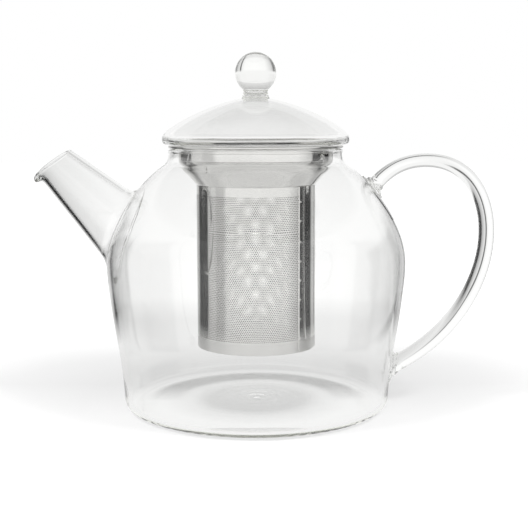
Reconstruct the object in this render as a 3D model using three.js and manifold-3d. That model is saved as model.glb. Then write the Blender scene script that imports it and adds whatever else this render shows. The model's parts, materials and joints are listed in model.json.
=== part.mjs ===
// Blown glass teapot with a steel infuser that drops into its neck and a domed glass lid.
// Millimetres, Z up. The vessel's axis is X = Y = 0 and Z = 0 is the surface that it stands on.
// The spout points to -X and the handle to +X.

import * as THREE from 'three';
import { mergeVertices } from 'three/addons/utils/BufferGeometryUtils.js';
import Module from 'manifold-3d';

const wasm = await Module();
wasm.setup();

// ---------------------------------------------------------------- driving dimensions

const GAP = 0.3; // left between pieces that are fused or that rest on each other
const GLASS_WALL = 2.0;
const STEEL_WALL = 0.6;

// Vessel: a flat base, a rounded heel, a flank that swells to the belly, and a shoulder up to the neck.
const BASE_RADIUS = 60.5;
const HEEL_RADIUS = 67.4;
const HEEL_HEIGHT = 7;
const BELLY_RADIUS = 75;
const BELLY_HEIGHT = 74;
const SHOULDER_TOP_RADIUS = 46.1;
const SHOULDER_TOP_HEIGHT = 122.2;
const NECK_RADIUS = 43.4;
const NECK_BEND_HEIGHT = 124.1;
const NECK_HEIGHT = 127;
const RIM_BEAD_RADIUS = 1.3;
const RIM_BEAD_DIP = 0.6; // radians that the bead's round goes below level on each side
const VESSEL_TOP = 130.2;
// Where the flank and the shoulder pull their curves between those sizes.
const HEEL_PULL = 0.2;
const FLANK_PULL = { radius: 68.3, height: 29 };
const BELLY_PULL_BELOW = 19.5;
const BELLY_PULL_ABOVE = 17;
const SHOULDER_PULL = { radius: 60, height: 113 };

// Spout: a cone whose wide end is fused to the shoulder. Its mouth is cut nearer to level than square.
const SPOUT_MOUTH = new THREE.Vector3(-101, 0, 123.4);
const SPOUT_MOUTH_RADIUS = 10;
const SPOUT_ELEVATION = THREE.MathUtils.degToRad(43.7);
const SPOUT_HALF_ANGLE = THREE.MathUtils.degToRad(9);
const SPOUT_MOUTH_ELEVATION = THREE.MathUtils.degToRad(55);
const SPOUT_WALL = 1.8;
const SPOUT_OVERRUN = 12; // cone beyond the mouth plane, which the cut takes off
const SPOUT_LENGTH = 62; // from the mouth's centre to a point inside the vessel
const DRIP_LIP_RADIUS = 2.4;
const DRIP_LIP_DROP = 0.5;

// Handle: a solid rod, in three sweeps from the shoulder over the top and down to the flank.
const HANDLE_ROD_RADIUS = 3.9;
const HANDLE_TOP_ROOT = [58.5, 110.5];
const HANDLE_CREST = [85.5, 124.3];
const HANDLE_BACK = [116.4, 88];
const HANDLE_LOW_ROOT = [67, 18.5];
const HANDLE_SWEEPS = [
  [HANDLE_TOP_ROOT, [66, 120.5], [75, HANDLE_CREST[1]], HANDLE_CREST],
  [HANDLE_CREST, [107.5, HANDLE_CREST[1]], [HANDLE_BACK[0], 106], HANDLE_BACK],
  [HANDLE_BACK, [HANDLE_BACK[0], 57], [94.1, 30], HANDLE_LOW_ROOT],
];
const HANDLE_FOOT_RADIUS = 6.4;
const HANDLE_FOOT_LENGTH = 9;
const HANDLE_FOOT_FLARE = 3;

// Infuser: a deep-drawn collar, a rolled tube and a dished base inside it, welded into one basket.
const FLANGE_RADIUS = 43.1;
const FLANGE_BOTTOM = VESSEL_TOP + GAP;
const FLANGE_THICKNESS = 1.5;
const FLANGE_TOP = FLANGE_BOTTOM + FLANGE_THICKNESS;
const COLLAR_RADIUS = 40.2;
const COLLAR_BEND_HEIGHT = 124.6;
const COLLAR_CORNER = 0.8;
const FUNNEL_PULL_HEIGHT = 119.5;
const FUNNEL_PULL = { radius: 35.4, height: 117.2 };
const TUBE_RADIUS = 29.9;
const TUBE_TOP = 111.5;
const TUBE_BOTTOM = 31.1;
const SLEEVE_LENGTH = 4.5; // of the collar and of the base, inside the tube's ends, where they are welded
const SLEEVE_RADIUS = TUBE_RADIUS - STEEL_WALL - GAP;
const BASE_INSET = 0.4; // from the tube's lower edge up to the base
const BASE_CORNER = 1.2;

// Lid: one blown shell, domed on top, folded under at the rim, with a skirt that drops into the collar.
const LID_SEAT = FLANGE_TOP + GAP;
const LID_RIM_RADIUS = 46.7;
const LID_RIM_HEIGHT = 134.7;
const LID_DOME_TOP = 155.7;
const LID_DOME_PULLS = [15, LID_DOME_TOP, 40.5, 144.3];
const LID_BROW = { radius: 45.9, height: 137.4 }; // where the dome turns into the rim
const LID_RIM_PULL_HEIGHT = 136.2;
const LID_FOLD = 2.4; // how far in from the rim the fold turns level
const LID_SKIRT_CORNER = 1.6;
const LID_SKIRT_RADIUS = 38.6;
const LID_SKIRT_BOTTOM = 124.8;
const KNOB_RADIUS = 10.3;
const KNOB_HEIGHT = 167.5;
const KNOB_NECK_RADIUS = 6.65;
const KNOB_NECK_HEIGHT = 157.2;
const KNOB_FOOT_RADIUS = 8.6;

// Fineness of the facets.
const ROUND_SEGMENTS = 40;
const SMALL_ROUND_SEGMENTS = 24;
const CURVE_STEPS = 5;
const SMALL_CURVE_STEPS = 3;
const ROD_SIDES = 12;
const ROD_STEPS = 36;

// ---------------------------------------------------------------- materials

function clearGlass(tint) {
  return new THREE.MeshStandardMaterial({
    color: tint,
    roughness: 0.03,
    metalness: 0,
    transparent: true,
    opacity: 0.35,
  });
}

function stainlessSteel(tint, roughness) {
  return new THREE.MeshStandardMaterial({ color: tint, roughness, metalness: 1 });
}

// ---------------------------------------------------------------- geometry helpers

// A body of revolution about Z from a profile of (radius, height) points.
function revolve(profile, segments = ROUND_SEGMENTS) {
  const geometry = new THREE.LatheGeometry(profile, segments);
  geometry.rotateX(Math.PI / 2);
  return geometry;
}

// The same profile moved sideways by a distance: to its left when the distance is positive.
// A point on the axis stays on it.
function offset(profile, distance) {
  return profile.map((point, i) => {
    const before = profile[Math.max(i - 1, 0)];
    const after = profile[Math.min(i + 1, profile.length - 1)];
    const along = after.clone().sub(before).normalize();
    const radius = point.x === 0 ? 0 : point.x - along.y * distance;
    return new THREE.Vector2(radius, point.y + along.x * distance);
  });
}

// A solid for joining and cutting, from a closed geometry.
function solidOf(geometry) {
  const bare = geometry.clone();
  bare.deleteAttribute('normal');
  bare.deleteAttribute('uv');
  const merged = mergeVertices(bare, 1e-3);
  const corners = merged.index.array;
  const kept = [];
  for (let i = 0; i < corners.length; i += 3) {
    const [a, b, c] = corners.slice(i, i + 3);
    if (a !== b && b !== c && c !== a) kept.push(a, b, c);
  }
  return new wasm.Manifold(new wasm.Mesh({
    numProp: 3,
    vertProperties: new Float32Array(merged.attributes.position.array),
    triVerts: new Uint32Array(kept),
  }));
}

// A geometry with flat facets, from a solid.
function geometryOf(solid) {
  const mesh = solid.getMesh();
  const geometry = new THREE.BufferGeometry();
  geometry.setAttribute('position', new THREE.BufferAttribute(mesh.vertProperties, 3));
  geometry.setIndex(new THREE.BufferAttribute(mesh.triVerts, 1));
  return geometry.toNonIndexed();
}

// Turns a geometry whose axis is Z so that the axis points along a direction, and moves it to a place.
function placeAlong(geometry, direction, place) {
  const turn = new THREE.Quaternion().setFromUnitVectors(new THREE.Vector3(0, 0, 1), direction);
  geometry.applyQuaternion(turn);
  geometry.translate(place.x, place.y, place.z);
  return geometry;
}

// A direction in the XZ plane that rises by an angle from -X.
function risingFromMinusX(angle) {
  return new THREE.Vector3(-Math.cos(angle), 0, Math.sin(angle));
}

// ---------------------------------------------------------------- vessel

function vesselOutline() {
  return new THREE.Path()
    .moveTo(0, 0)
    .lineTo(BASE_RADIUS, 0)
    .quadraticCurveTo(HEEL_RADIUS + HEEL_PULL, 0, HEEL_RADIUS, HEEL_HEIGHT)
    .bezierCurveTo(
      FLANK_PULL.radius, FLANK_PULL.height,
      BELLY_RADIUS, BELLY_HEIGHT - BELLY_PULL_BELOW,
      BELLY_RADIUS, BELLY_HEIGHT,
    )
    .bezierCurveTo(
      BELLY_RADIUS, BELLY_HEIGHT + BELLY_PULL_ABOVE,
      SHOULDER_PULL.radius, SHOULDER_PULL.height,
      SHOULDER_TOP_RADIUS, SHOULDER_TOP_HEIGHT,
    )
    .quadraticCurveTo(NECK_RADIUS, NECK_BEND_HEIGHT, NECK_RADIUS, NECK_HEIGHT)
    .getPoints(CURVE_STEPS);
}

function vesselShell() {
  const outside = vesselOutline();
  const inside = offset(outside, GLASS_WALL).reverse();
  const rimCentre = NECK_RADIUS - GLASS_WALL / 2;
  const rimHeight = VESSEL_TOP - RIM_BEAD_RADIUS;
  const rim = new THREE.Path()
    .absarc(rimCentre, rimHeight, RIM_BEAD_RADIUS, -RIM_BEAD_DIP, Math.PI + RIM_BEAD_DIP)
    .getPoints(SMALL_CURVE_STEPS);
  return solidOf(revolve([...outside, ...rim, ...inside]));
}

// The vessel's outer shape, grown by the gap and filled, which cuts the pieces fused to it.
function vesselEnvelope() {
  const outside = offset(vesselOutline(), -GAP);
  return solidOf(revolve([...outside, new THREE.Vector2(0, NECK_HEIGHT)]));
}

// ---------------------------------------------------------------- spout

// A cone on the spout's axis, whose radius differs from the outer wall's by the inset.
function spoutCone(inset) {
  const slope = Math.tan(SPOUT_HALF_ANGLE);
  const thin = SPOUT_MOUTH_RADIUS - inset - slope * SPOUT_OVERRUN;
  const wide = SPOUT_MOUTH_RADIUS - inset + slope * SPOUT_LENGTH;
  const profile = [
    new THREE.Vector2(0, -SPOUT_LENGTH),
    new THREE.Vector2(wide, -SPOUT_LENGTH),
    new THREE.Vector2(thin, SPOUT_OVERRUN),
    new THREE.Vector2(0, SPOUT_OVERRUN),
  ];
  const cone = revolve(profile, SMALL_ROUND_SEGMENTS);
  return solidOf(placeAlong(cone, risingFromMinusX(SPOUT_ELEVATION), SPOUT_MOUTH));
}

// Everything beyond the mouth plane.
function beyondMouth() {
  const size = 6 * SPOUT_MOUTH_RADIUS;
  const block = new THREE.BoxGeometry(size, size, size);
  block.translate(0, 0, size / 2);
  return solidOf(placeAlong(block, risingFromMinusX(SPOUT_MOUTH_ELEVATION), SPOUT_MOUTH));
}

// A rounded lip at the lowest point of the mouth, where the last drop leaves.
function dripLip() {
  const down = new THREE.Vector3(-Math.sin(SPOUT_MOUTH_ELEVATION), 0, -Math.cos(SPOUT_MOUTH_ELEVATION));
  const lip = new THREE.SphereGeometry(DRIP_LIP_RADIUS, 14, 10);
  const place = SPOUT_MOUTH.clone().addScaledVector(down, SPOUT_MOUTH_RADIUS);
  lip.translate(place.x, place.y, place.z - DRIP_LIP_DROP);
  return solidOf(lip);
}

function spout(envelope) {
  return spoutCone(0)
    .subtract(beyondMouth())
    .add(dripLip())
    .subtract(spoutCone(SPOUT_WALL))
    .subtract(envelope);
}

// ---------------------------------------------------------------- handle

function handlePath() {
  const path = new THREE.CurvePath();
  for (const sweep of HANDLE_SWEEPS) {
    const points = sweep.map(([x, z]) => new THREE.Vector3(x, 0, z));
    path.add(new THREE.CubicBezierCurve3(...points));
  }
  return path;
}

// The flared end of the rod, where it is melted onto the wall.
function handleFoot(path, end, sign) {
  const foot = new THREE.Path()
    .moveTo(0, 0)
    .lineTo(HANDLE_FOOT_RADIUS, 0)
    .quadraticCurveTo(HANDLE_ROD_RADIUS, HANDLE_FOOT_FLARE, HANDLE_ROD_RADIUS, HANDLE_FOOT_LENGTH)
    .lineTo(0, HANDLE_FOOT_LENGTH)
    .getPoints(SMALL_CURVE_STEPS);
  const outward = path.getTangent(end).multiplyScalar(sign);
  return solidOf(placeAlong(revolve(foot, ROD_SIDES), outward, path.getPoint(end)));
}

function handle(envelope) {
  const path = handlePath();
  const section = new THREE.Shape(
    new THREE.Path().absarc(0, 0, HANDLE_ROD_RADIUS, 0, 2 * Math.PI).getSpacedPoints(ROD_SIDES),
  );
  const rod = new THREE.ExtrudeGeometry(section, {
    steps: ROD_STEPS,
    bevelEnabled: false,
    extrudePath: path,
  });
  return solidOf(rod)
    .add(handleFoot(path, 0, 1))
    .add(handleFoot(path, 1, -1))
    .subtract(envelope);
}

// ---------------------------------------------------------------- lid

// The dome's outer line, from the axis down to the widest point of the rim.
function domeOutline() {
  return new THREE.Path()
    .moveTo(0, LID_DOME_TOP)
    .bezierCurveTo(...LID_DOME_PULLS, LID_BROW.radius, LID_BROW.height)
    .quadraticCurveTo(LID_RIM_RADIUS, LID_RIM_PULL_HEIGHT, LID_RIM_RADIUS, LID_RIM_HEIGHT)
    .getPoints(CURVE_STEPS);
}

function lidDome() {
  const dome = domeOutline();
  const skirtInside = LID_SKIRT_RADIUS - GLASS_WALL;
  const skirtEnd = GLASS_WALL / 2;
  const underTop = LID_SEAT + GLASS_WALL;
  const under = new THREE.Path()
    .moveTo(LID_RIM_RADIUS, LID_RIM_HEIGHT)
    .quadraticCurveTo(LID_RIM_RADIUS, LID_SEAT, LID_RIM_RADIUS - LID_FOLD, LID_SEAT)
    .lineTo(LID_SKIRT_RADIUS + LID_SKIRT_CORNER, LID_SEAT)
    .quadraticCurveTo(LID_SKIRT_RADIUS, LID_SEAT, LID_SKIRT_RADIUS, LID_SEAT - LID_SKIRT_CORNER)
    .lineTo(LID_SKIRT_RADIUS, LID_SKIRT_BOTTOM + skirtEnd)
    .absarc(skirtInside + skirtEnd, LID_SKIRT_BOTTOM + skirtEnd, skirtEnd, 0, -Math.PI, true)
    .lineTo(skirtInside, underTop - LID_FOLD)
    .quadraticCurveTo(skirtInside, underTop, skirtInside + LID_FOLD, underTop)
    .lineTo(LID_RIM_RADIUS - 1.5 * LID_FOLD, underTop)
    .getPoints(SMALL_CURVE_STEPS);
  const domeInside = offset(dome.slice(0, CURVE_STEPS + 1), -GLASS_WALL).reverse();
  return solidOf(revolve([...dome, ...under.slice(1), ...domeInside].reverse()));
}

// A solid ball on a short waisted neck. Its foot follows the dome under it.
function lidKnob() {
  const waist = Math.asin(KNOB_NECK_RADIUS / KNOB_RADIUS);
  const foot = offset(domeOutline(), GAP).filter((point) => point.x < KNOB_FOOT_RADIUS);
  const side = new THREE.Path()
    .moveTo(KNOB_FOOT_RADIUS, LID_DOME_TOP - GAP)
    .quadraticCurveTo(KNOB_NECK_RADIUS, LID_DOME_TOP, KNOB_NECK_RADIUS, KNOB_NECK_HEIGHT)
    .absarc(0, KNOB_HEIGHT, KNOB_RADIUS, waist - Math.PI / 2, Math.PI / 2)
    .getPoints(CURVE_STEPS);
  return solidOf(revolve([...foot, ...side], SMALL_ROUND_SEGMENTS));
}

// ---------------------------------------------------------------- infuser

function infuserCollar() {
  const sheetOutside = new THREE.Path()
    .moveTo(FLANGE_RADIUS, FLANGE_BOTTOM)
    .lineTo(COLLAR_RADIUS + COLLAR_CORNER, FLANGE_BOTTOM)
    .quadraticCurveTo(COLLAR_RADIUS, FLANGE_BOTTOM, COLLAR_RADIUS, FLANGE_BOTTOM - COLLAR_CORNER)
    .lineTo(COLLAR_RADIUS, COLLAR_BEND_HEIGHT)
    .bezierCurveTo(
      COLLAR_RADIUS, FUNNEL_PULL_HEIGHT,
      FUNNEL_PULL.radius, FUNNEL_PULL.height,
      TUBE_RADIUS, TUBE_TOP + GAP,
    )
    .lineTo(SLEEVE_RADIUS, TUBE_TOP + GAP)
    .lineTo(SLEEVE_RADIUS, TUBE_TOP - SLEEVE_LENGTH)
    .getPoints(SMALL_CURVE_STEPS);
  const sleeveInside = SLEEVE_RADIUS - STEEL_WALL;
  const collarInside = COLLAR_RADIUS - STEEL_WALL;
  const flangeEdge = FLANGE_THICKNESS / 2;
  const sheetInside = new THREE.Path()
    .moveTo(sleeveInside, TUBE_TOP - SLEEVE_LENGTH)
    .lineTo(sleeveInside, TUBE_TOP + COLLAR_CORNER)
    .bezierCurveTo(
      FUNNEL_PULL.radius - STEEL_WALL, FUNNEL_PULL.height + STEEL_WALL,
      collarInside, FUNNEL_PULL_HEIGHT + STEEL_WALL,
      collarInside, COLLAR_BEND_HEIGHT,
    )
    .lineTo(collarInside, FLANGE_TOP - 2 * COLLAR_CORNER)
    .quadraticCurveTo(collarInside, FLANGE_TOP, collarInside + 2 * COLLAR_CORNER, FLANGE_TOP)
    .lineTo(FLANGE_RADIUS, FLANGE_TOP)
    .absarc(FLANGE_RADIUS, FLANGE_TOP - flangeEdge, flangeEdge, Math.PI / 2, -Math.PI / 2, true)
    .getPoints(SMALL_CURVE_STEPS);
  return solidOf(revolve([...sheetOutside, ...sheetInside].reverse()));
}

function infuserTube() {
  const inside = TUBE_RADIUS - STEEL_WALL;
  return solidOf(revolve([
    new THREE.Vector2(TUBE_RADIUS, TUBE_BOTTOM),
    new THREE.Vector2(TUBE_RADIUS, TUBE_TOP),
    new THREE.Vector2(inside, TUBE_TOP),
    new THREE.Vector2(inside, TUBE_BOTTOM),
    new THREE.Vector2(TUBE_RADIUS, TUBE_BOTTOM),
  ]));
}

function infuserBase() {
  const floor = TUBE_BOTTOM + BASE_INSET;
  const sleeveTop = floor + SLEEVE_LENGTH;
  const sleeveInside = SLEEVE_RADIUS - STEEL_WALL;
  const innerCorner = BASE_CORNER - STEEL_WALL;
  const profile = new THREE.Path()
    .moveTo(0, floor)
    .lineTo(SLEEVE_RADIUS - BASE_CORNER, floor)
    .quadraticCurveTo(SLEEVE_RADIUS, floor, SLEEVE_RADIUS, floor + BASE_CORNER)
    .lineTo(SLEEVE_RADIUS, sleeveTop)
    .lineTo(sleeveInside, sleeveTop)
    .lineTo(sleeveInside, floor + BASE_CORNER)
    .quadraticCurveTo(sleeveInside, floor + STEEL_WALL, sleeveInside - innerCorner, floor + STEEL_WALL)
    .lineTo(0, floor + STEEL_WALL)
    .getPoints(SMALL_CURVE_STEPS);
  return solidOf(revolve(profile));
}

// ---------------------------------------------------------------- assembly

function piece(name, solid, material) {
  const mesh = new THREE.Mesh(geometryOf(solid), material);
  mesh.name = name;
  return mesh;
}

const envelope = vesselEnvelope();

const pot = new THREE.Group();
pot.add(
  piece('glass_vessel', vesselShell().subtract(spoutCone(SPOUT_WALL)), clearGlass(0xe8eceb)),
  piece('spout', spout(envelope), clearGlass(0xe9eceb)),
  piece('handle', handle(envelope), clearGlass(0xe3e7e5)),
);

const infuser = new THREE.Group();
infuser.add(
  piece('infuser_collar', infuserCollar(), stainlessSteel(0xcfcdc9, 0.18)),
  piece('infuser_tube', infuserTube(), stainlessSteel(0xbdbdba, 0.3)),
  piece('infuser_base', infuserBase(), stainlessSteel(0xc4c3c0, 0.25)),
);

const lid = new THREE.Group();
lid.add(
  piece('lid_dome', lidDome(), clearGlass(0xe9ebec)),
  piece('lid_knob', lidKnob(), clearGlass(0xf0f2f2)),
);

const teapot = new THREE.Group();
teapot.add(pot, infuser, lid);

export default teapot;
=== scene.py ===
"""A blown glass teapot with a drop-in steel infuser and a domed glass lid.

Every piece stands in the teapot's own frame, in metres: the vessel's axis is X = Y = 0, the spout
points to -X, the handle to +X, and Z = 0 is the surface that the teapot stands on.
"""

import json
import math

import bmesh
import bpy
import numpy as np
from bpy.props import FloatProperty, FloatVectorProperty, IntProperty, PointerProperty
from mathutils import Matrix, Vector

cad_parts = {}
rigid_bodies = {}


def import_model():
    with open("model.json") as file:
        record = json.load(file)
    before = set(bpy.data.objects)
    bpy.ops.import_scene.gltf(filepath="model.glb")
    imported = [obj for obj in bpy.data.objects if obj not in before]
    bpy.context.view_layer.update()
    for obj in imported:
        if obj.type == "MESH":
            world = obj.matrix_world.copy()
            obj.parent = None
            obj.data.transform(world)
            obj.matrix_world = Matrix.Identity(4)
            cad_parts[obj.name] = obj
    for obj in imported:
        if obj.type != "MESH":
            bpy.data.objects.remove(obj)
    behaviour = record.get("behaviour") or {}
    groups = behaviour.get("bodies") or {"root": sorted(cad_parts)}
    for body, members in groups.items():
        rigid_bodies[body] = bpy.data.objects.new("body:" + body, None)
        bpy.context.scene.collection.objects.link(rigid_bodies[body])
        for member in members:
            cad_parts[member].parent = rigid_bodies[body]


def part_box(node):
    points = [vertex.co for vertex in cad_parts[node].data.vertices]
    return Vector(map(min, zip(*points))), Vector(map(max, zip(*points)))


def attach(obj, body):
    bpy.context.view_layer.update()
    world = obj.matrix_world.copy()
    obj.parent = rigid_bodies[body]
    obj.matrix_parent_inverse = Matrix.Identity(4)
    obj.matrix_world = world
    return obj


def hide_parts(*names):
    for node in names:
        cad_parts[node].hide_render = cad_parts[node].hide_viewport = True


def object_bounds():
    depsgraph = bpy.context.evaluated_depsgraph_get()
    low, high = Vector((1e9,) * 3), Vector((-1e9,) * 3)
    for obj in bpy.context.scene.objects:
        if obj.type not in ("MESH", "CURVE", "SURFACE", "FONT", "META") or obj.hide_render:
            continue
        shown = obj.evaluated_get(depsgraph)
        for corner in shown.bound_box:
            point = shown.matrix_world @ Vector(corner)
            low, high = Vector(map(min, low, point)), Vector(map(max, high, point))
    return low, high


bl_info = {
    "name": "Glass teapot with infuser",
    "version": (1, 0, 0),
    "blender": (4, 5, 0),
    "location": "3D View > Sidebar > Teapot",
    "description": "Builds a blown glass teapot, its steel infuser, its lid and a plain stage",
    "category": "Add Mesh",
}

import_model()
cad_low, cad_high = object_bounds()

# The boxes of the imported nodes, from which the main sizes are read.
VESSEL_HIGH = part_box("glass_vessel")[1]
COLLAR_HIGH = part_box("infuser_collar")[1]
TUBE_LOW, TUBE_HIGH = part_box("infuser_tube")
DOME_LOW, DOME_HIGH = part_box("lid_dome")
KNOB_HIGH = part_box("lid_knob")[1]

MM = 0.001
FUSED_GAP = 0.02 * MM  # between pieces that are fused to each other
RANGE = ("From Min", "From Max", "To Min", "To Max")  # what a range is read from, and turned into
SAME_POINT = 0.002 * MM  # corners closer than this are one corner
SHARP_EDGE = math.radians(32)
RIM_WIDEST = 134.7 * MM  # height at which the lid is widest
SLEEVE_DEPTH = 0.62 * MM  # from the tube's outside to the sleeves inside it
DISH_LIFT = 0.4 * MM  # from the tube's lower edge to the base's floor
SEAM_LAYER = 0.32 * MM  # how far the seam's outer layer stands off the tube
BRIGHT_CLOTH = 1.18  # strength of the surround's light, against the backdrop's 1

# The surround's brightness at angles from the back: negative to the left, positive to the right.
SURROUND = (
    (-180, 0.98), (-126, 0.98), (-118, 0.62), (-104, 0.6), (-98, 0.76), (-86, 0.7), (-80, 0.6),
    (-77, 0.01), (-46, 0.01), (-42, 0.4), (-34, 0.6), (-18, 0.85), (0, 0.88), (20, 0.86),
    (29, 0.72), (30, 0.06), (34, 0.06), (35, 0.66), (46, 0.45), (51, 0.3), (54, 0.01), (93, 0.01),
    (96, 0.62), (106, 0.76), (120, 0.98), (180, 0.98),
)


# ---- settings


class PotSettings(bpy.types.PropertyGroup):
    """Sizes of the glass pot: the vessel, the spout and the handle."""

    wall: FloatProperty(
        name="Glass wall", default=2.0 * MM, unit="LENGTH",
        description="Thickness of the blown wall on the flank and the shoulder",
    )
    floor_wall: FloatProperty(
        name="Glass floor", default=2.3 * MM, unit="LENGTH",
        description="Thickness of the vessel's floor, where the glass gathers",
    )
    gather: FloatProperty(
        name="Gathered glass", default=16 * MM, unit="LENGTH",
        description="Height at which the wall begins to thicken towards the floor",
    )
    kick_up: FloatProperty(
        name="Kick-up", default=1.2 * MM, unit="LENGTH",
        description="How far the middle of the base stands off the table",
    )
    pontil_ring_height: FloatProperty(
        name="Pontil ring height", default=0.3 * MM, unit="LENGTH",
        description="Height of the rings left in the floor where the iron broke off",
    )
    pontil_ring_spacing: FloatProperty(
        name="Pontil ring spacing", default=6.2 * MM, unit="LENGTH",
        description="Distance from one of those rings to the next",
    )
    wave_height: FloatProperty(
        name="Wave height", default=0.3 * MM, unit="LENGTH",
        description="How far the hand-blown surface wanders",
    )
    wave_length: FloatProperty(
        name="Wave length", default=45 * MM, unit="LENGTH",
        description="Size of those waves",
    )
    spout_mouth_radius: FloatProperty(
        name="Spout mouth", default=10 * MM, unit="LENGTH",
        description="Outer radius of the spout at its mouth",
    )
    spout_wall: FloatProperty(
        name="Spout wall", default=1.8 * MM, unit="LENGTH",
        description="Thickness of the spout's wall",
    )
    spout_foot: FloatProperty(
        name="Spout foot", default=4.6 * MM, unit="LENGTH",
        description="Width of the band where the spout is melted into the shoulder",
    )
    drip_lip: FloatProperty(
        name="Drip lip", default=3.6 * MM, unit="LENGTH",
        description="How far the mouth's lowest edge is pulled out",
    )
    handle_crest_radius: FloatProperty(
        name="Handle rod, top", default=3.35 * MM, unit="LENGTH",
        description="Radius of the handle's rod at its crest",
    )
    handle_low_radius: FloatProperty(
        name="Handle rod, bottom", default=4.2 * MM, unit="LENGTH",
        description="Radius of the handle's rod near its lower end",
    )
    handle_foot_radius: FloatProperty(
        name="Handle foot", default=6.6 * MM, unit="LENGTH",
        description="Radius of the pads where the rod is melted onto the wall",
    )


class InfuserSettings(bpy.types.PropertyGroup):
    """Sizes of the steel infuser."""

    sheet: FloatProperty(
        name="Sheet", default=0.5 * MM, unit="LENGTH",
        description="Thickness of the rolled and drawn steel",
    )
    tiles_around: IntProperty(
        name="Holes around", default=188,
        description="Hole pitches round the whole tube, plain margin included",
    )
    rows: IntProperty(
        name="Rows", default=92,
        description="Hole pitches up the whole tube, plain bands included",
    )
    plain_rows_below: IntProperty(
        name="Plain rows, bottom", default=7,
        description="Rows without holes at the tube's lower end",
    )
    plain_rows_above: IntProperty(
        name="Plain rows, top", default=5,
        description="Rows without holes at the tube's upper end",
    )
    hole: FloatProperty(
        name="Hole", default=0.56 * MM, unit="LENGTH",
        description="Diameter of a hole",
    )
    seam_angle: FloatProperty(
        name="Seam", default=math.radians(43.5), unit="ROTATION",
        description="Where the lap seam's edge runs, measured from the front to the right",
    )
    margin_angle: FloatProperty(
        name="Seam margin", default=math.radians(36.5), unit="ROTATION",
        description="How far the unperforated margin reaches past the seam's edge",
    )
    lap_angle: FloatProperty(
        name="Seam lap", default=math.radians(26), unit="ROTATION",
        description="How far the outer layer lies on the inner one",
    )
    welds: IntProperty(
        name="Spot welds", default=8,
        description="Number of spot welds down the seam",
    )


class LidSettings(bpy.types.PropertyGroup):
    """Sizes of the glass lid."""

    wall: FloatProperty(
        name="Lid wall", default=1.6 * MM, unit="LENGTH",
        description="Thickness of the blown dome and its skirt",
    )
    neck_ring_height: FloatProperty(
        name="Neck rings", default=0.28 * MM, unit="LENGTH",
        description="Height of the tool rings on the knob's neck",
    )
    wave_height: FloatProperty(
        name="Wave height", default=0.22 * MM, unit="LENGTH",
        description="Height of the slow waves in the blown lid",
    )
    wave_length: FloatProperty(
        name="Wave length", default=22 * MM, unit="LENGTH",
        description="Distance from one of those waves to the next",
    )


class FinishSettings(bpy.types.PropertyGroup):
    """Colours of the two materials."""

    glass: FloatVectorProperty(
        name="Glass", default=(0.99, 0.992, 0.986), subtype="COLOR", min=0, max=1,
        description="Tint of the clear glass",
    )
    steel: FloatVectorProperty(
        name="Steel", default=(0.74, 0.735, 0.72), subtype="COLOR", min=0, max=1,
        description="Colour of the stainless steel",
    )


class StageSettings(bpy.types.PropertyGroup):
    """The camera, the floor and the light."""

    camera_distance: FloatProperty(
        name="Camera distance", default=0.5123, unit="LENGTH",
        description="From the vessel's axis to the camera",
    )
    camera_side: FloatProperty(
        name="Camera side step", default=0.00397, unit="LENGTH",
        description="How far the camera stands to the right of the vessel's axis",
    )
    camera_height: FloatProperty(
        name="Camera height", default=0.139, unit="LENGTH",
        description="From the table to the camera",
    )
    camera_pitch: FloatProperty(
        name="Camera pitch", default=math.radians(7.45), unit="ROTATION",
        description="How far the camera looks down",
    )
    camera_roll: FloatProperty(
        name="Camera roll", default=math.radians(-0.13), unit="ROTATION",
        description="How far the camera leans over",
    )
    camera_view: FloatProperty(
        name="Camera view", default=math.radians(29.1), unit="ROTATION",
        description="Angle of view",
    )
    floor_size: FloatProperty(
        name="Floor size", default=8.0, unit="LENGTH",
        description="Side of the pale floor",
    )
    tent_radius: FloatProperty(
        name="Tent radius", default=0.34, unit="LENGTH",
        description="From the vessel's axis to the cloth that glass and steel see",
    )
    tent_height: FloatProperty(
        name="Tent height", default=0.3, unit="LENGTH",
        description="Height of that cloth",
    )
    lamp_power: FloatProperty(
        name="Lamp power", default=7.5, unit="POWER",
        description="Power of each of the two soft lamps",
    )


# ---- outlines


def bezier(*corners, steps):
    """Points on a Bezier curve of any degree, without its first point."""
    degree = len(corners) - 1
    share = np.linspace(0, 1, steps + 1)[1:, None]
    parts = [
        math.comb(degree, i) * share**i * (1 - share) ** (degree - i) * np.array(corner, float)
        for i, corner in enumerate(corners)
    ]
    return [tuple(point) for point in sum(parts)]


def arc(centre, radius, start, end, steps):
    """Points on an arc, both ends included. Angles are in degrees, from the outward level."""
    angles = np.radians(np.linspace(start, end, steps + 1))
    return [(centre[0] + radius * math.cos(a), centre[1] + radius * math.sin(a)) for a in angles]


def offset(outline, distances):
    """The outline moved to its left by a distance at each point. A point on the axis stays on it."""
    points = np.array(outline, float)
    along = np.gradient(points, axis=0)
    along /= np.linalg.norm(along, axis=1)[:, None]
    left = np.stack([-along[:, 1], along[:, 0]], axis=1)
    moved = points + left * np.broadcast_to(distances, len(points))[:, None]
    moved[points[:, 0] < SAME_POINT, 0] = 0
    return [tuple(point) for point in moved]


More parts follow.
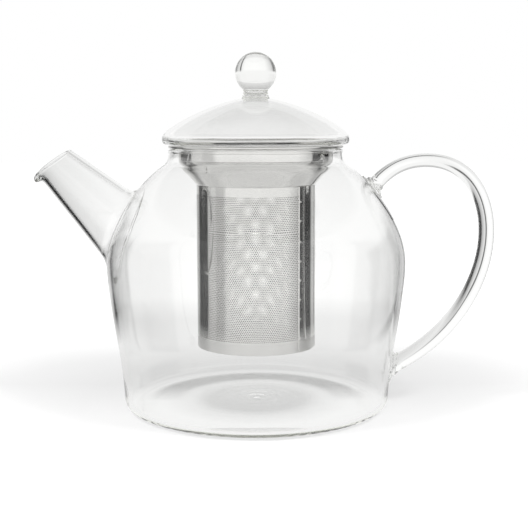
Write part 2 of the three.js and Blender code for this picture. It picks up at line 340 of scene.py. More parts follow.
def vessel_outline(pot):
    """The vessel's outer line, from the middle of the base up to the neck, as (radius, height)."""
    base = 60.5 * MM
    heel = (67.4 * MM, 7 * MM)
    belly = (VESSEL_HIGH.x, 74 * MM)
    shoulder = (46.1 * MM, 122.2 * MM)
    neck = 43.4 * MM
    rest = 50 * MM  # the base lies on the table from this radius outwards
    kick = pot.kick_up
    outline = [(0.0, kick)]
    outline += bezier(outline[-1], (0.35 * rest, kick), (0.7 * rest, 0), (rest, 0), steps=24)
    outline += bezier(outline[-1], (base, 0), steps=3)
    outline += bezier(outline[-1], (heel[0] + 0.2 * MM, 0), heel, steps=18)
    outline += bezier(heel, (68.3 * MM, 29 * MM), (belly[0], belly[1] - 19.5 * MM), belly, steps=40)
    outline += bezier(belly, (belly[0], belly[1] + 17 * MM), (60 * MM, 113 * MM), shoulder, steps=56)
    outline += bezier(shoulder, (44.5 * MM, 123.3 * MM), (neck, 125.2 * MM), (neck, 128.2 * MM), steps=14)
    return outline


def vessel_section(pot):
    """The whole line round the vessel's wall: up the outside, over the bead, down the inside."""
    outside = vessel_outline(pot)
    radius, height = np.array(outside).T
    gathered = np.clip((pot.gather - height) / pot.gather, 0, 1) ** 2
    thinned, thins_from, thins_over = 0.8 * MM, 95 * MM, 25 * MM  # the shoulder is drawn out thinner
    drawn = thinned * np.clip((height - thins_from) / thins_over, 0, 1)
    inside = offset(outside, pot.wall + (pot.floor_wall - pot.wall) * gathered - drawn)[::-1]
    fade, floor_top = 9 * MM, 10 * MM
    rings = [
        pot.pontil_ring_height * math.cos(2 * math.pi * r / pot.pontil_ring_spacing) * math.exp(-r / fade)
        for r, z in inside
    ]
    inside = [(r, z + ring) if z < floor_top else (r, z) for (r, z), ring in zip(inside, rings)]
    bead = 1.3 * MM
    neck_middle = outside[-1][0] - pot.wall / 2
    rim = arc((neck_middle, VESSEL_HIGH.z - bead), bead, -34, 214, 16)
    return outside + rim + inside


# ---- mesh work


def mesh_object(name, corners, faces):
    """A new object in the scene, from corner points and faces."""
    mesh = bpy.data.meshes.new(name)
    mesh.from_pydata([tuple(c) for c in corners], [], faces)
    piece = bpy.data.objects.new(name, mesh)
    bpy.context.scene.collection.objects.link(piece)
    return piece


def ring_faces(rings, sides, first=0, closed=False):
    """Faces between rings of equal size, and from the last ring back to the first if closed."""
    faces = []
    for r in range(rings if closed else rings - 1):
        here = first + r * sides
        there = first + (r + 1) % rings * sides
        for s in range(sides):
            after = (s + 1) % sides
            faces.append((here + s, here + after, there + after, there + s))
    return faces


def give_modifier(piece, tree, **inputs):
    """Adds a Geometry Nodes modifier and sets its inputs, given by their names in plain words."""
    modifier = piece.modifiers.new(tree.name, "NODES")
    modifier.node_group = tree
    sockets = {s.name: s.identifier for s in tree.interface.items_tree if s.item_type == "SOCKET"}
    for name, value in inputs.items():
        modifier[sockets[name.replace("_", " ").capitalize()]] = value
    return modifier


def made_plain(source, name):
    """A plain mesh piece from an object with modifiers, which is then removed."""
    graph = bpy.context.evaluated_depsgraph_get()
    mesh = bpy.data.meshes.new_from_object(source.evaluated_get(graph), depsgraph=graph)
    bpy.data.objects.remove(source)
    mesh.name = name
    piece = bpy.data.objects.new(name, mesh)
    bpy.context.scene.collection.objects.link(piece)
    return piece


def close_up(piece):
    """Merges doubles, turns the faces outwards, and raises an error if the mesh is open."""
    form = bmesh.new()
    form.from_mesh(piece.data)
    bmesh.ops.remove_doubles(form, verts=form.verts, dist=SAME_POINT)
    bmesh.ops.dissolve_degenerate(form, edges=form.edges, dist=SAME_POINT / 4)
    open_edges = [e for e in form.edges if len(e.link_faces) != 2]
    if open_edges:
        raise RuntimeError(f"{piece.name} has {len(open_edges)} open edges")
    bmesh.ops.recalc_face_normals(form, faces=form.faces)
    if form.calc_volume(signed=True) < 0:
        bmesh.ops.reverse_faces(form, faces=form.faces)
    form.to_mesh(piece.data)
    form.free()
    piece.data.shade_smooth()
    piece.data.set_sharp_from_angle(angle=SHARP_EDGE)


def fit(piece, body, nodes, finish):
    """Closes a finished piece, gives it its material and its body, and hides the nodes it stands for."""
    close_up(piece)
    piece.data.materials.clear()
    piece.data.materials.append(finish)
    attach(piece, body)
    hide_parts(*nodes)


def revolved(name, outline, segments, finish):
    """A piece turned about the teapot's axis from an outline of (radius, height)."""
    line = mesh_object(f"{name}_outline", [(r, 0, z) for r, z in outline], [])
    give_modifier(line, revolve_tree(), segments=segments, finish=finish)
    return made_plain(line, name)


def hand_blown(source, name, sizes, finish):
    """A piece with the slow waves of hand-blown glass, from an object that is then removed."""
    waves = {"wave_height": sizes.wave_height, "wave_length": sizes.wave_length}
    give_modifier(source, wave_tree(), finish=finish, **waves)
    return made_plain(source, name)


# ---- geometry nodes


def new_tree(name, inputs):
    """An empty tree with a shape in and out, and a named input for each size and for the finish."""
    tree = bpy.data.node_groups.new(name, "GeometryNodeTree")
    tree.interface.new_socket("Shape", in_out="INPUT", socket_type="NodeSocketGeometry")
    for label, kind in inputs.items():
        tree.interface.new_socket(label, in_out="INPUT", socket_type=kind)
    tree.interface.new_socket("Finish", in_out="INPUT", socket_type="NodeSocketMaterial")
    tree.interface.new_socket("Shape", in_out="OUTPUT", socket_type="NodeSocketGeometry")
    return tree


def lay_out(nodes):
    """Sets the nodes out for the editor: a level for each frame, and each node right of the last."""
    levels = {}
    for node in nodes:
        if node.type != "FRAME":
            level = levels.setdefault(node.parent.label if node.parent else "", [])
            level.append(node)
            node.location = (240 * len(level), -420 * list(levels.values()).index(level))


def revolve_tree():
    """Turns a line of points about Z: one ring of the line's points at each step of the turn."""
    tree = bpy.data.node_groups.get("Revolve outline")
    if tree:
        return tree
    tree = new_tree("Revolve outline", {"Segments": "NodeSocketInt"})
    nodes, links = tree.nodes, tree.links

    given = nodes.new("NodeGroupInput")
    given.label = "Outline and segments"
    count = nodes.new("GeometryNodeAttributeDomainSize")
    count.label = "Points in the outline"
    columns = nodes.new("ShaderNodeMath")
    columns.label = "One more column, to close the turn"
    grid = nodes.new("GeometryNodeMeshGrid")
    grid.label = "One column for each step"
    index = nodes.new("GeometryNodeInputIndex")
    index.label = "Corner number"
    along = nodes.new("ShaderNodeMath")
    along.label = "Place along the outline"
    turn = nodes.new("ShaderNodeMath")
    turn.label = "Columns so far"
    whole = nodes.new("ShaderNodeMath")
    whole.label = "Whole columns"
    share = nodes.new("ShaderNodeMath")
    share.label = "Share of a turn"
    angle = nodes.new("ShaderNodeMath")
    angle.label = "Angle"
    position = nodes.new("GeometryNodeInputPosition")
    position.label = "Outline point"
    sample = nodes.new("GeometryNodeSampleIndex")
    sample.label = "Pick the outline point"
    rotate = nodes.new("ShaderNodeVectorRotate")
    rotate.label = "Turn it about Z"
    place = nodes.new("GeometryNodeSetPosition")
    place.label = "Put the corner there"
    merge = nodes.new("GeometryNodeMergeByDistance")
    merge.label = "Close the turn and the poles"
    realize = nodes.new("GeometryNodeRealizeInstances")
    realize.label = "One mesh"
    finish = nodes.new("GeometryNodeSetMaterial")
    finish.label = "Finish"
    result = nodes.new("NodeGroupOutput")
    result.label = "Turned shell"
    lay_out(nodes)

    count.component = "MESH"
    columns.inputs[1].default_value = 1
    for node, operation in (
        (columns, "ADD"), (along, "MODULO"), (turn, "DIVIDE"), (whole, "FLOOR"), (share, "DIVIDE"),
        (angle, "MULTIPLY"),
    ):
        node.operation = operation
    angle.inputs[1].default_value = 2 * math.pi
    sample.data_type = "FLOAT_VECTOR"
    rotate.rotation_type = "Z_AXIS"
    merge.inputs["Distance"].default_value = SAME_POINT

    links.new(given.outputs["Shape"], count.inputs[0])
    links.new(given.outputs["Segments"], columns.inputs[0])
    links.new(columns.outputs[0], grid.inputs["Vertices X"])
    links.new(count.outputs["Point Count"], grid.inputs["Vertices Y"])
    links.new(index.outputs[0], along.inputs[0])
    links.new(count.outputs["Point Count"], along.inputs[1])
    links.new(index.outputs[0], turn.inputs[0])
    links.new(count.outputs["Point Count"], turn.inputs[1])
    links.new(turn.outputs[0], whole.inputs[0])
    links.new(whole.outputs[0], share.inputs[0])
    links.new(given.outputs["Segments"], share.inputs[1])
    links.new(share.outputs[0], angle.inputs[0])
    links.new(given.outputs["Shape"], sample.inputs["Geometry"])
    links.new(position.outputs[0], sample.inputs["Value"])
    links.new(along.outputs[0], sample.inputs["Index"])
    links.new(sample.outputs[0], rotate.inputs["Vector"])
    links.new(angle.outputs[0], rotate.inputs["Angle"])
    links.new(grid.outputs["Mesh"], place.inputs["Geometry"])
    links.new(rotate.outputs[0], place.inputs["Position"])
    links.new(place.outputs[0], merge.inputs["Geometry"])
    links.new(merge.outputs[0], realize.inputs[0])
    links.new(realize.outputs[0], finish.inputs["Geometry"])
    links.new(given.outputs["Finish"], finish.inputs["Material"])
    links.new(finish.outputs[0], result.inputs[0])
    return tree


def wave_tree():
    """Moves a surface a little, by a slow noise that depends only on the place in the teapot."""
    tree = bpy.data.node_groups.get("Hand-blown waves")
    if tree:
        return tree
    sizes = {"Wave height": "NodeSocketFloat", "Wave length": "NodeSocketFloat"}
    tree = new_tree("Hand-blown waves", sizes)
    nodes, links = tree.nodes, tree.links

    given = nodes.new("NodeGroupInput")
    given.label = "Shape and wave sizes"
    scale = nodes.new("ShaderNodeMath")
    scale.label = "Waves in a metre"
    noise = nodes.new("ShaderNodeTexNoise")
    noise.label = "Slow waves"
    centred = nodes.new("ShaderNodeVectorMath")
    centred.label = "In and out"
    sized = nodes.new("ShaderNodeVectorMath")
    sized.label = "To the wave height"
    place = nodes.new("GeometryNodeSetPosition")
    place.label = "Move the surface"
    realize = nodes.new("GeometryNodeRealizeInstances")
    realize.label = "One mesh"
    finish = nodes.new("GeometryNodeSetMaterial")
    finish.label = "Finish"
    result = nodes.new("NodeGroupOutput")
    result.label = "Waved shape"
    lay_out(nodes)

    scale.operation = "DIVIDE"
    scale.inputs[0].default_value = 1
    noise.noise_dimensions = "4D"
    noise.inputs["W"].default_value = 3.7
    noise.inputs["Detail"].default_value = 1.0
    noise.inputs["Roughness"].default_value = 0.4
    centred.operation = "SUBTRACT"
    centred.inputs[1].default_value = (0.5, 0.5, 0.5)
    sized.operation = "SCALE"

    links.new(given.outputs["Wave length"], scale.inputs[1])
    links.new(scale.outputs[0], noise.inputs["Scale"])
    links.new(noise.outputs["Color"], centred.inputs[0])
    links.new(centred.outputs[0], sized.inputs[0])
    links.new(given.outputs["Wave height"], sized.inputs["Scale"])
    links.new(given.outputs["Shape"], place.inputs["Geometry"])
    links.new(sized.outputs[0], place.inputs["Offset"])
    links.new(place.outputs[0], realize.inputs[0])
    links.new(realize.outputs[0], finish.inputs["Geometry"])
    links.new(given.outputs["Finish"], finish.inputs["Material"])
    links.new(finish.outputs[0], result.inputs[0])
    return tree


def rolled_sheet_tree():
    """A strip of sheet steel with staggered holes, built flat from tiles and rolled to a tube."""
    sizes = {
        "Holed tile": "NodeSocketObject",
        "Plain tile": "NodeSocketObject",
        "First tile": "NodeSocketInt",
        "Tiles": "NodeSocketInt",
        "Rows": "NodeSocketInt",
        "Tile width": "NodeSocketFloat",
        "Tile height": "NodeSocketFloat",
        "Bottom": "NodeSocketFloat",
        "Plain below": "NodeSocketInt",
        "Plain from row": "NodeSocketInt",
        "Margin from": "NodeSocketFloat",
        "Margin to": "NodeSocketFloat",
        "Sheet": "NodeSocketFloat",
        "Radius": "NodeSocketFloat",
    }
    tree = new_tree("Rolled perforated sheet", sizes)
    nodes, links = tree.nodes, tree.links

    given = nodes.new("NodeGroupInput")
    given.label = "Sizes of the sheet"
    total = nodes.new("ShaderNodeMath")
    total.label = "Tiles in the strip"
    index = nodes.new("GeometryNodeInputIndex")
    index.label = "Tile number"
    column = nodes.new("ShaderNodeMath")
    column.label = "Place in the row"
    row_share = nodes.new("ShaderNodeMath")
    row_share.label = "Rows so far"
    row = nodes.new("ShaderNodeMath")
    row.label = "Row"
    odd = nodes.new("ShaderNodeMath")
    odd.label = "Every other row"
    stagger = nodes.new("ShaderNodeMath")
    stagger.label = "Half a tile of stagger, and half a tile to its middle"
    from_first = nodes.new("ShaderNodeMath")
    from_first.label = "Count from the first tile"
    middle = nodes.new("ShaderNodeMath")
    middle.label = "Tile's middle, in tiles"
    across = nodes.new("ShaderNodeMath")
    across.label = "Distance along the sheet"
    row_middle = nodes.new("ShaderNodeMath")
    row_middle.label = "Row's middle, in tiles"
    upwards = nodes.new("ShaderNodeMath")
    upwards.label = "Height of the row"
    spot = nodes.new("ShaderNodeCombineXYZ")
    spot.label = "Tile's place on the flat sheet"
    spots = nodes.new("GeometryNodePoints")
    spots.label = "One point for each tile"
    above_band = nodes.new("FunctionNodeCompare")
    above_band.label = "Above the lower plain band"
    under_band = nodes.new("FunctionNodeCompare")
    under_band.label = "Under the upper plain band"
    before_margin = nodes.new("FunctionNodeCompare")
    before_margin.label = "Before the seam's margin"
    after_margin = nodes.new("FunctionNodeCompare")
    after_margin.label = "After the seam's margin"
    in_height = nodes.new("FunctionNodeBooleanMath")
    in_height.label = "Between the bands"
    off_margin = nodes.new("FunctionNodeBooleanMath")
    off_margin.label = "Off the margin"
    holed = nodes.new("FunctionNodeBooleanMath")
    holed.label = "This tile has a hole"
    plain = nodes.new("FunctionNodeBooleanMath")
    plain.label = "This tile is plain"
    holed_tile = nodes.new("GeometryNodeObjectInfo")
    holed_tile.label = "Tile with a hole"
    plain_tile = nodes.new("GeometryNodeObjectInfo")
    plain_tile.label = "Tile without a hole"
    put_holed = nodes.new("GeometryNodeInstanceOnPoints")
    put_holed.label = "Lay the holed tiles"
    put_plain = nodes.new("GeometryNodeInstanceOnPoints")
    put_plain.label = "Lay the plain tiles"
    laid = nodes.new("GeometryNodeJoinGeometry")
    laid.label = "All tiles"
    realize = nodes.new("GeometryNodeRealizeInstances")
    realize.label = "One mesh"
    weld = nodes.new("GeometryNodeMergeByDistance")
    weld.label = "One skin"
    thickness = nodes.new("ShaderNodeCombineXYZ")
    thickness.label = "Inwards by the sheet"
    thicken = nodes.new("GeometryNodeExtrudeMesh")
    thicken.label = "Inner skin and the holes' walls"
    turn_over = nodes.new("GeometryNodeFlipFaces")
    turn_over.label = "Outer skin faces out"
    both = nodes.new("GeometryNodeJoinGeometry")
    both.label = "Both skins"
    closed = nodes.new("GeometryNodeMergeByDistance")
    closed.label = "Closed sheet"
    flat = nodes.new("GeometryNodeInputPosition")
    flat.label = "Place on the flat sheet"
    parts = nodes.new("ShaderNodeSeparateXYZ")
    parts.label = "Along, through and up"
    angle = nodes.new("ShaderNodeMath")
    angle.label = "Angle round the tube"
    depth = nodes.new("ShaderNodeMath")
    depth.label = "Radius at this depth"
    sine = nodes.new("ShaderNodeMath")
    sine.label = "Sine"
    cosine = nodes.new("ShaderNodeMath")
    cosine.label = "Cosine"
    rightwards = nodes.new("ShaderNodeMath")
    rightwards.label = "To the right"
    backwards = nodes.new("ShaderNodeMath")
    backwards.label = "To the back"
    front = nodes.new("ShaderNodeMath")
    front.label = "Angle 0 is the front"
    rolled = nodes.new("ShaderNodeCombineXYZ")
    rolled.label = "Place on the tube"
    roll = nodes.new("GeometryNodeSetPosition")
    roll.label = "Roll the sheet"
    settled = nodes.new("GeometryNodeRealizeInstances")
    settled.label = "No instances left"
    finish = nodes.new("GeometryNodeSetMaterial")
    finish.label = "Finish"
    result = nodes.new("NodeGroupOutput")
    result.label = "Rolled sheet"
    lay_out(nodes)

    odd.inputs[1].default_value = 2
    stagger.inputs[1].default_value = 0.5
    stagger.inputs[2].default_value = 0.5
    row_middle.inputs[1].default_value = 0.5
    above_band.data_type = "FLOAT"
    under_band.data_type = "FLOAT"
    before_margin.data_type = "FLOAT"
    after_margin.data_type = "FLOAT"
    weld.inputs["Distance"].default_value = SAME_POINT
    closed.inputs["Distance"].default_value = SAME_POINT
    thicken.mode = "FACES"
    thicken.inputs["Offset Scale"].default_value = 1
    thicken.inputs["Individual"].default_value = False
    for node, operation in (
        (total, "MULTIPLY"), (column, "MODULO"), (row_share, "DIVIDE"), (row, "FLOOR"),
        (odd, "MODULO"), (stagger, "MULTIPLY_ADD"), (from_first, "ADD"), (middle, "ADD"),
        (across, "MULTIPLY"), (row_middle, "ADD"), (upwards, "MULTIPLY_ADD"),
        (above_band, "GREATER_EQUAL"), (under_band, "LESS_THAN"), (before_margin, "LESS_THAN"),
        (after_margin, "GREATER_THAN"), (in_height, "AND"), (off_margin, "OR"), (holed, "AND"),
        (plain, "NOT"), (angle, "DIVIDE"), (depth, "SUBTRACT"), (sine, "SINE"), (cosine, "COSINE"),
        (rightwards, "MULTIPLY"), (backwards, "MULTIPLY"), (front, "MULTIPLY"),
    ):
        node.operation = operation
    front.inputs[1].default_value = -1

    links.new(given.outputs["Tiles"], total.inputs[0])
    links.new(given.outputs["Rows"], total.inputs[1])
    links.new(index.outputs[0], column.inputs[0])
    links.new(given.outputs["Tiles"], column.inputs[1])
    links.new(index.outputs[0], row_share.inputs[0])
    links.new(given.outputs["Tiles"], row_share.inputs[1])
    links.new(row_share.outputs[0], row.inputs[0])
    links.new(row.outputs[0], odd.inputs[0])
    links.new(odd.outputs[0], stagger.inputs[0])
    links.new(column.outputs[0], from_first.inputs[0])
    links.new(given.outputs["First tile"], from_first.inputs[1])
    links.new(from_first.outputs[0], middle.inputs[0])
    links.new(stagger.outputs[0], middle.inputs[1])
    links.new(middle.outputs[0], across.inputs[0])
    links.new(given.outputs["Tile width"], across.inputs[1])
    links.new(row.outputs[0], row_middle.inputs[0])
    links.new(row_middle.outputs[0], upwards.inputs[0])
    links.new(given.outputs["Tile height"], upwards.inputs[1])
    links.new(given.outputs["Bottom"], upwards.inputs[2])
    links.new(across.outputs[0], spot.inputs["X"])
    links.new(upwards.outputs[0], spot.inputs["Z"])
    links.new(total.outputs[0], spots.inputs["Count"])
    links.new(spot.outputs[0], spots.inputs["Position"])
    links.new(row.outputs[0], above_band.inputs[0])
    links.new(given.outputs["Plain below"], above_band.inputs[1])
    links.new(row.outputs[0], under_band.inputs[0])
    links.new(given.outputs["Plain from row"], under_band.inputs[1])
    links.new(middle.outputs[0], before_margin.inputs[0])
    links.new(given.outputs["Margin from"], before_margin.inputs[1])
    links.new(middle.outputs[0], after_margin.inputs[0])
    links.new(given.outputs["Margin to"], after_margin.inputs[1])
    links.new(above_band.outputs[0], in_height.inputs[0])
    links.new(under_band.outputs[0], in_height.inputs[1])
    links.new(before_margin.outputs[0], off_margin.inputs[0])
    links.new(after_margin.outputs[0], off_margin.inputs[1])
    links.new(in_height.outputs[0], holed.inputs[0])
    links.new(off_margin.outputs[0], holed.inputs[1])
    links.new(holed.outputs[0], plain.inputs[0])
    links.new(given.outputs["Holed tile"], holed_tile.inputs["Object"])
    links.new(given.outputs["Plain tile"], plain_tile.inputs["Object"])
    links.new(spots.outputs[0], put_holed.inputs["Points"])
    links.new(holed.outputs[0], put_holed.inputs["Selection"])
    links.new(holed_tile.outputs["Geometry"], put_holed.inputs["Instance"])
    links.new(spots.outputs[0], put_plain.inputs["Points"])
    links.new(plain.outputs[0], put_plain.inputs["Selection"])
    links.new(plain_tile.outputs["Geometry"], put_plain.inputs["Instance"])
    links.new(put_holed.outputs[0], laid.inputs[0])
    links.new(put_plain.outputs[0], laid.inputs[0])
    links.new(laid.outputs[0], realize.inputs[0])
    links.new(realize.outputs[0], weld.inputs["Geometry"])
    links.new(given.outputs["Sheet"], thickness.inputs["Y"])
    links.new(weld.outputs[0], thicken.inputs["Mesh"])
    links.new(thickness.outputs[0], thicken.inputs["Offset"])
    links.new(weld.outputs[0], turn_over.inputs["Mesh"])
    links.new(thicken.outputs["Mesh"], both.inputs[0])
    links.new(turn_over.outputs[0], both.inputs[0])
    links.new(both.outputs[0], closed.inputs["Geometry"])
    links.new(flat.outputs[0], parts.inputs[0])
    links.new(parts.outputs["X"], angle.inputs[0])
    links.new(given.outputs["Radius"], angle.inputs[1])
    links.new(given.outputs["Radius"], depth.inputs[0])
    links.new(parts.outputs["Y"], depth.inputs[1])
    links.new(angle.outputs[0], sine.inputs[0])
    links.new(angle.outputs[0], cosine.inputs[0])
    links.new(sine.outputs[0], rightwards.inputs[0])
    links.new(depth.outputs[0], rightwards.inputs[1])
    links.new(cosine.outputs[0], backwards.inputs[0])
    links.new(depth.outputs[0], backwards.inputs[1])
    links.new(backwards.outputs[0], front.inputs[0])
    links.new(rightwards.outputs[0], rolled.inputs["X"])
    links.new(front.outputs[0], rolled.inputs["Y"])
    links.new(parts.outputs["Z"], rolled.inputs["Z"])
    links.new(closed.outputs[0], roll.inputs["Geometry"])
    links.new(rolled.outputs[0], roll.inputs["Position"])
    links.new(roll.outputs[0], settled.inputs[0])
    links.new(settled.outputs[0], finish.inputs["Geometry"])
    links.new(given.outputs["Finish"], finish.inputs["Material"])
    links.new(finish.outputs[0], result.inputs[0])
    return tree


def sieve_disc_tree():
    """A flat steel disc with staggered round holes, from curves that are filled and thickened."""
    sizes = {
        "Disc radius": "NodeSocketFloat",
        "Holed radius": "NodeSocketFloat",
        "Pitch": "NodeSocketFloat",
        "Hole radius": "NodeSocketFloat",
        "Sheet": "NodeSocketFloat",
        "Height": "NodeSocketFloat",
        "Holes across": "NodeSocketInt",
    }
    tree = new_tree("Perforated disc", sizes)
    nodes, links = tree.nodes, tree.links

    given = nodes.new("NodeGroupInput")
    given.label = "Sizes of the disc"
    total = nodes.new("ShaderNodeMath")
    total.label = "Places in the square grid"
    index = nodes.new("GeometryNodeInputIndex")
    index.label = "Place number"
    column = nodes.new("ShaderNodeMath")
    column.label = "Column"
    row_share = nodes.new("ShaderNodeMath")
    row_share.label = "Rows so far"
    row = nodes.new("ShaderNodeMath")
    row.label = "Row"
    odd = nodes.new("ShaderNodeMath")
    odd.label = "Every other row"
    stagger = nodes.new("ShaderNodeMath")
    stagger.label = "Half a pitch of stagger"
    half = nodes.new("ShaderNodeMath")
    half.label = "Half the grid"
    column_centred = nodes.new("ShaderNodeMath")
    column_centred.label = "Column from the middle"
    row_centred = nodes.new("ShaderNodeMath")
    row_centred.label = "Row from the middle"
    row_height = nodes.new("ShaderNodeMath")
    row_height.label = "Rows lie closer than columns"
    spot = nodes.new("ShaderNodeCombineXYZ")
    spot.label = "Place, in pitches"
    sized = nodes.new("ShaderNodeVectorMath")
    sized.label = "Place on the disc"
    distance = nodes.new("ShaderNodeVectorMath")
    distance.label = "Distance from the axis"
    near = nodes.new("FunctionNodeCompare")
    near.label = "Inside the holed area"
    spots = nodes.new("GeometryNodePoints")
    spots.label = "One point for each place"
    hole = nodes.new("GeometryNodeCurvePrimitiveCircle")
    hole.label = "Edge of a hole"
    punch = nodes.new("GeometryNodeInstanceOnPoints")
    punch.label = "Punch the holes"
    realize = nodes.new("GeometryNodeRealizeInstances")
    realize.label = "All hole edges"
    edge = nodes.new("GeometryNodeCurvePrimitiveCircle")
    edge.label = "Edge of the disc"
    edges = nodes.new("GeometryNodeJoinGeometry")
    edges.label = "All edges"
    fill = nodes.new("GeometryNodeFillCurve")
    fill.label = "Sheet between the edges"
    weld = nodes.new("GeometryNodeMergeByDistance")
    weld.label = "One skin"
    thickness = nodes.new("ShaderNodeCombineXYZ")
    thickness.label = "Upwards by the sheet"
    thicken = nodes.new("GeometryNodeExtrudeMesh")
    thicken.label = "Upper skin and the holes' walls"
    turn_over = nodes.new("GeometryNodeFlipFaces")
    turn_over.label = "Lower skin faces down"
    both = nodes.new("GeometryNodeJoinGeometry")
    both.label = "Both skins"
    closed = nodes.new("GeometryNodeMergeByDistance")
    closed.label = "Closed sheet"
    level = nodes.new("ShaderNodeCombineXYZ")
    level.label = "Up to the infuser's floor"
    lift = nodes.new("GeometryNodeSetPosition")
    lift.label = "Lift the disc"
    settled = nodes.new("GeometryNodeRealizeInstances")
    settled.label = "No instances left"
    finish = nodes.new("GeometryNodeSetMaterial")
    finish.label = "Finish"
    result = nodes.new("NodeGroupOutput")
    result.label = "Perforated disc"
    lay_out(nodes)

    odd.inputs[1].default_value = 2
    stagger.inputs[1].default_value = 0.5
    half.inputs[1].default_value = 0.5
    row_height.inputs[1].default_value = math.sin(math.radians(60))
    near.data_type = "FLOAT"
    for node, operation in (
        (total, "MULTIPLY"), (column, "MODULO"), (row_share, "DIVIDE"), (row, "FLOOR"),
        (odd, "MODULO"), (stagger, "MULTIPLY_ADD"), (half, "MULTIPLY"),
        (column_centred, "SUBTRACT"), (row_centred, "SUBTRACT"), (row_height, "MULTIPLY"),
        (sized, "SCALE"), (distance, "LENGTH"), (near, "LESS_THAN"),
    ):
        node.operation = operation
    hole.inputs["Resolution"].default_value = 8
    edge.inputs["Resolution"].default_value = 160
    fill.mode = "TRIANGLES"
    weld.inputs["Distance"].default_value = SAME_POINT
    closed.inputs["Distance"].default_value = SAME_POINT
    thicken.mode = "FACES"
    thicken.inputs["Offset Scale"].default_value = 1
    thicken.inputs["Individual"].default_value = False

    links.new(given.outputs["Holes across"], total.inputs[0])
    links.new(given.outputs["Holes across"], total.inputs[1])
    links.new(index.outputs[0], column.inputs[0])
    links.new(given.outputs["Holes across"], column.inputs[1])
    links.new(index.outputs[0], row_share.inputs[0])
    links.new(given.outputs["Holes across"], row_share.inputs[1])
    links.new(row_share.outputs[0], row.inputs[0])
    links.new(row.outputs[0], odd.inputs[0])
    links.new(odd.outputs[0], stagger.inputs[0])
    links.new(column.outputs[0], stagger.inputs[2])
    links.new(given.outputs["Holes across"], half.inputs[0])
    links.new(stagger.outputs[0], column_centred.inputs[0])
    links.new(half.outputs[0], column_centred.inputs[1])
    links.new(row.outputs[0], row_centred.inputs[0])
    links.new(half.outputs[0], row_centred.inputs[1])
    links.new(row_centred.outputs[0], row_height.inputs[0])
    links.new(column_centred.outputs[0], spot.inputs["X"])
    links.new(row_height.outputs[0], spot.inputs["Y"])
    links.new(spot.outputs[0], sized.inputs[0])
    links.new(given.outputs["Pitch"], sized.inputs["Scale"])
    links.new(sized.outputs[0], distance.inputs[0])
    links.new(distance.outputs["Value"], near.inputs[0])
    links.new(given.outputs["Holed radius"], near.inputs[1])
    links.new(total.outputs[0], spots.inputs["Count"])
    links.new(sized.outputs[0], spots.inputs["Position"])
    links.new(given.outputs["Hole radius"], hole.inputs["Radius"])
    links.new(spots.outputs[0], punch.inputs["Points"])
    links.new(near.outputs[0], punch.inputs["Selection"])
    links.new(hole.outputs[0], punch.inputs["Instance"])
    links.new(punch.outputs[0], realize.inputs[0])
    links.new(given.outputs["Disc radius"], edge.inputs["Radius"])
    links.new(realize.outputs[0], edges.inputs[0])
    links.new(edge.outputs[0], edges.inputs[0])
    links.new(edges.outputs[0], fill.inputs["Curve"])
    links.new(fill.outputs[0], weld.inputs["Geometry"])
    links.new(given.outputs["Sheet"], thickness.inputs["Z"])
    links.new(weld.outputs[0], thicken.inputs["Mesh"])
    links.new(thickness.outputs[0], thicken.inputs["Offset"])
    links.new(weld.outputs[0], turn_over.inputs["Mesh"])
    links.new(thicken.outputs["Mesh"], both.inputs[0])
    links.new(turn_over.outputs[0], both.inputs[0])
    links.new(both.outputs[0], closed.inputs["Geometry"])
    links.new(given.outputs["Height"], level.inputs["Z"])
    links.new(closed.outputs[0], lift.inputs["Geometry"])
    links.new(level.outputs[0], lift.inputs["Offset"])
    links.new(lift.outputs[0], settled.inputs[0])
    links.new(settled.outputs[0], finish.inputs["Geometry"])
    links.new(given.outputs["Finish"], finish.inputs["Material"])
    links.new(finish.outputs[0], result.inputs[0])
    return tree


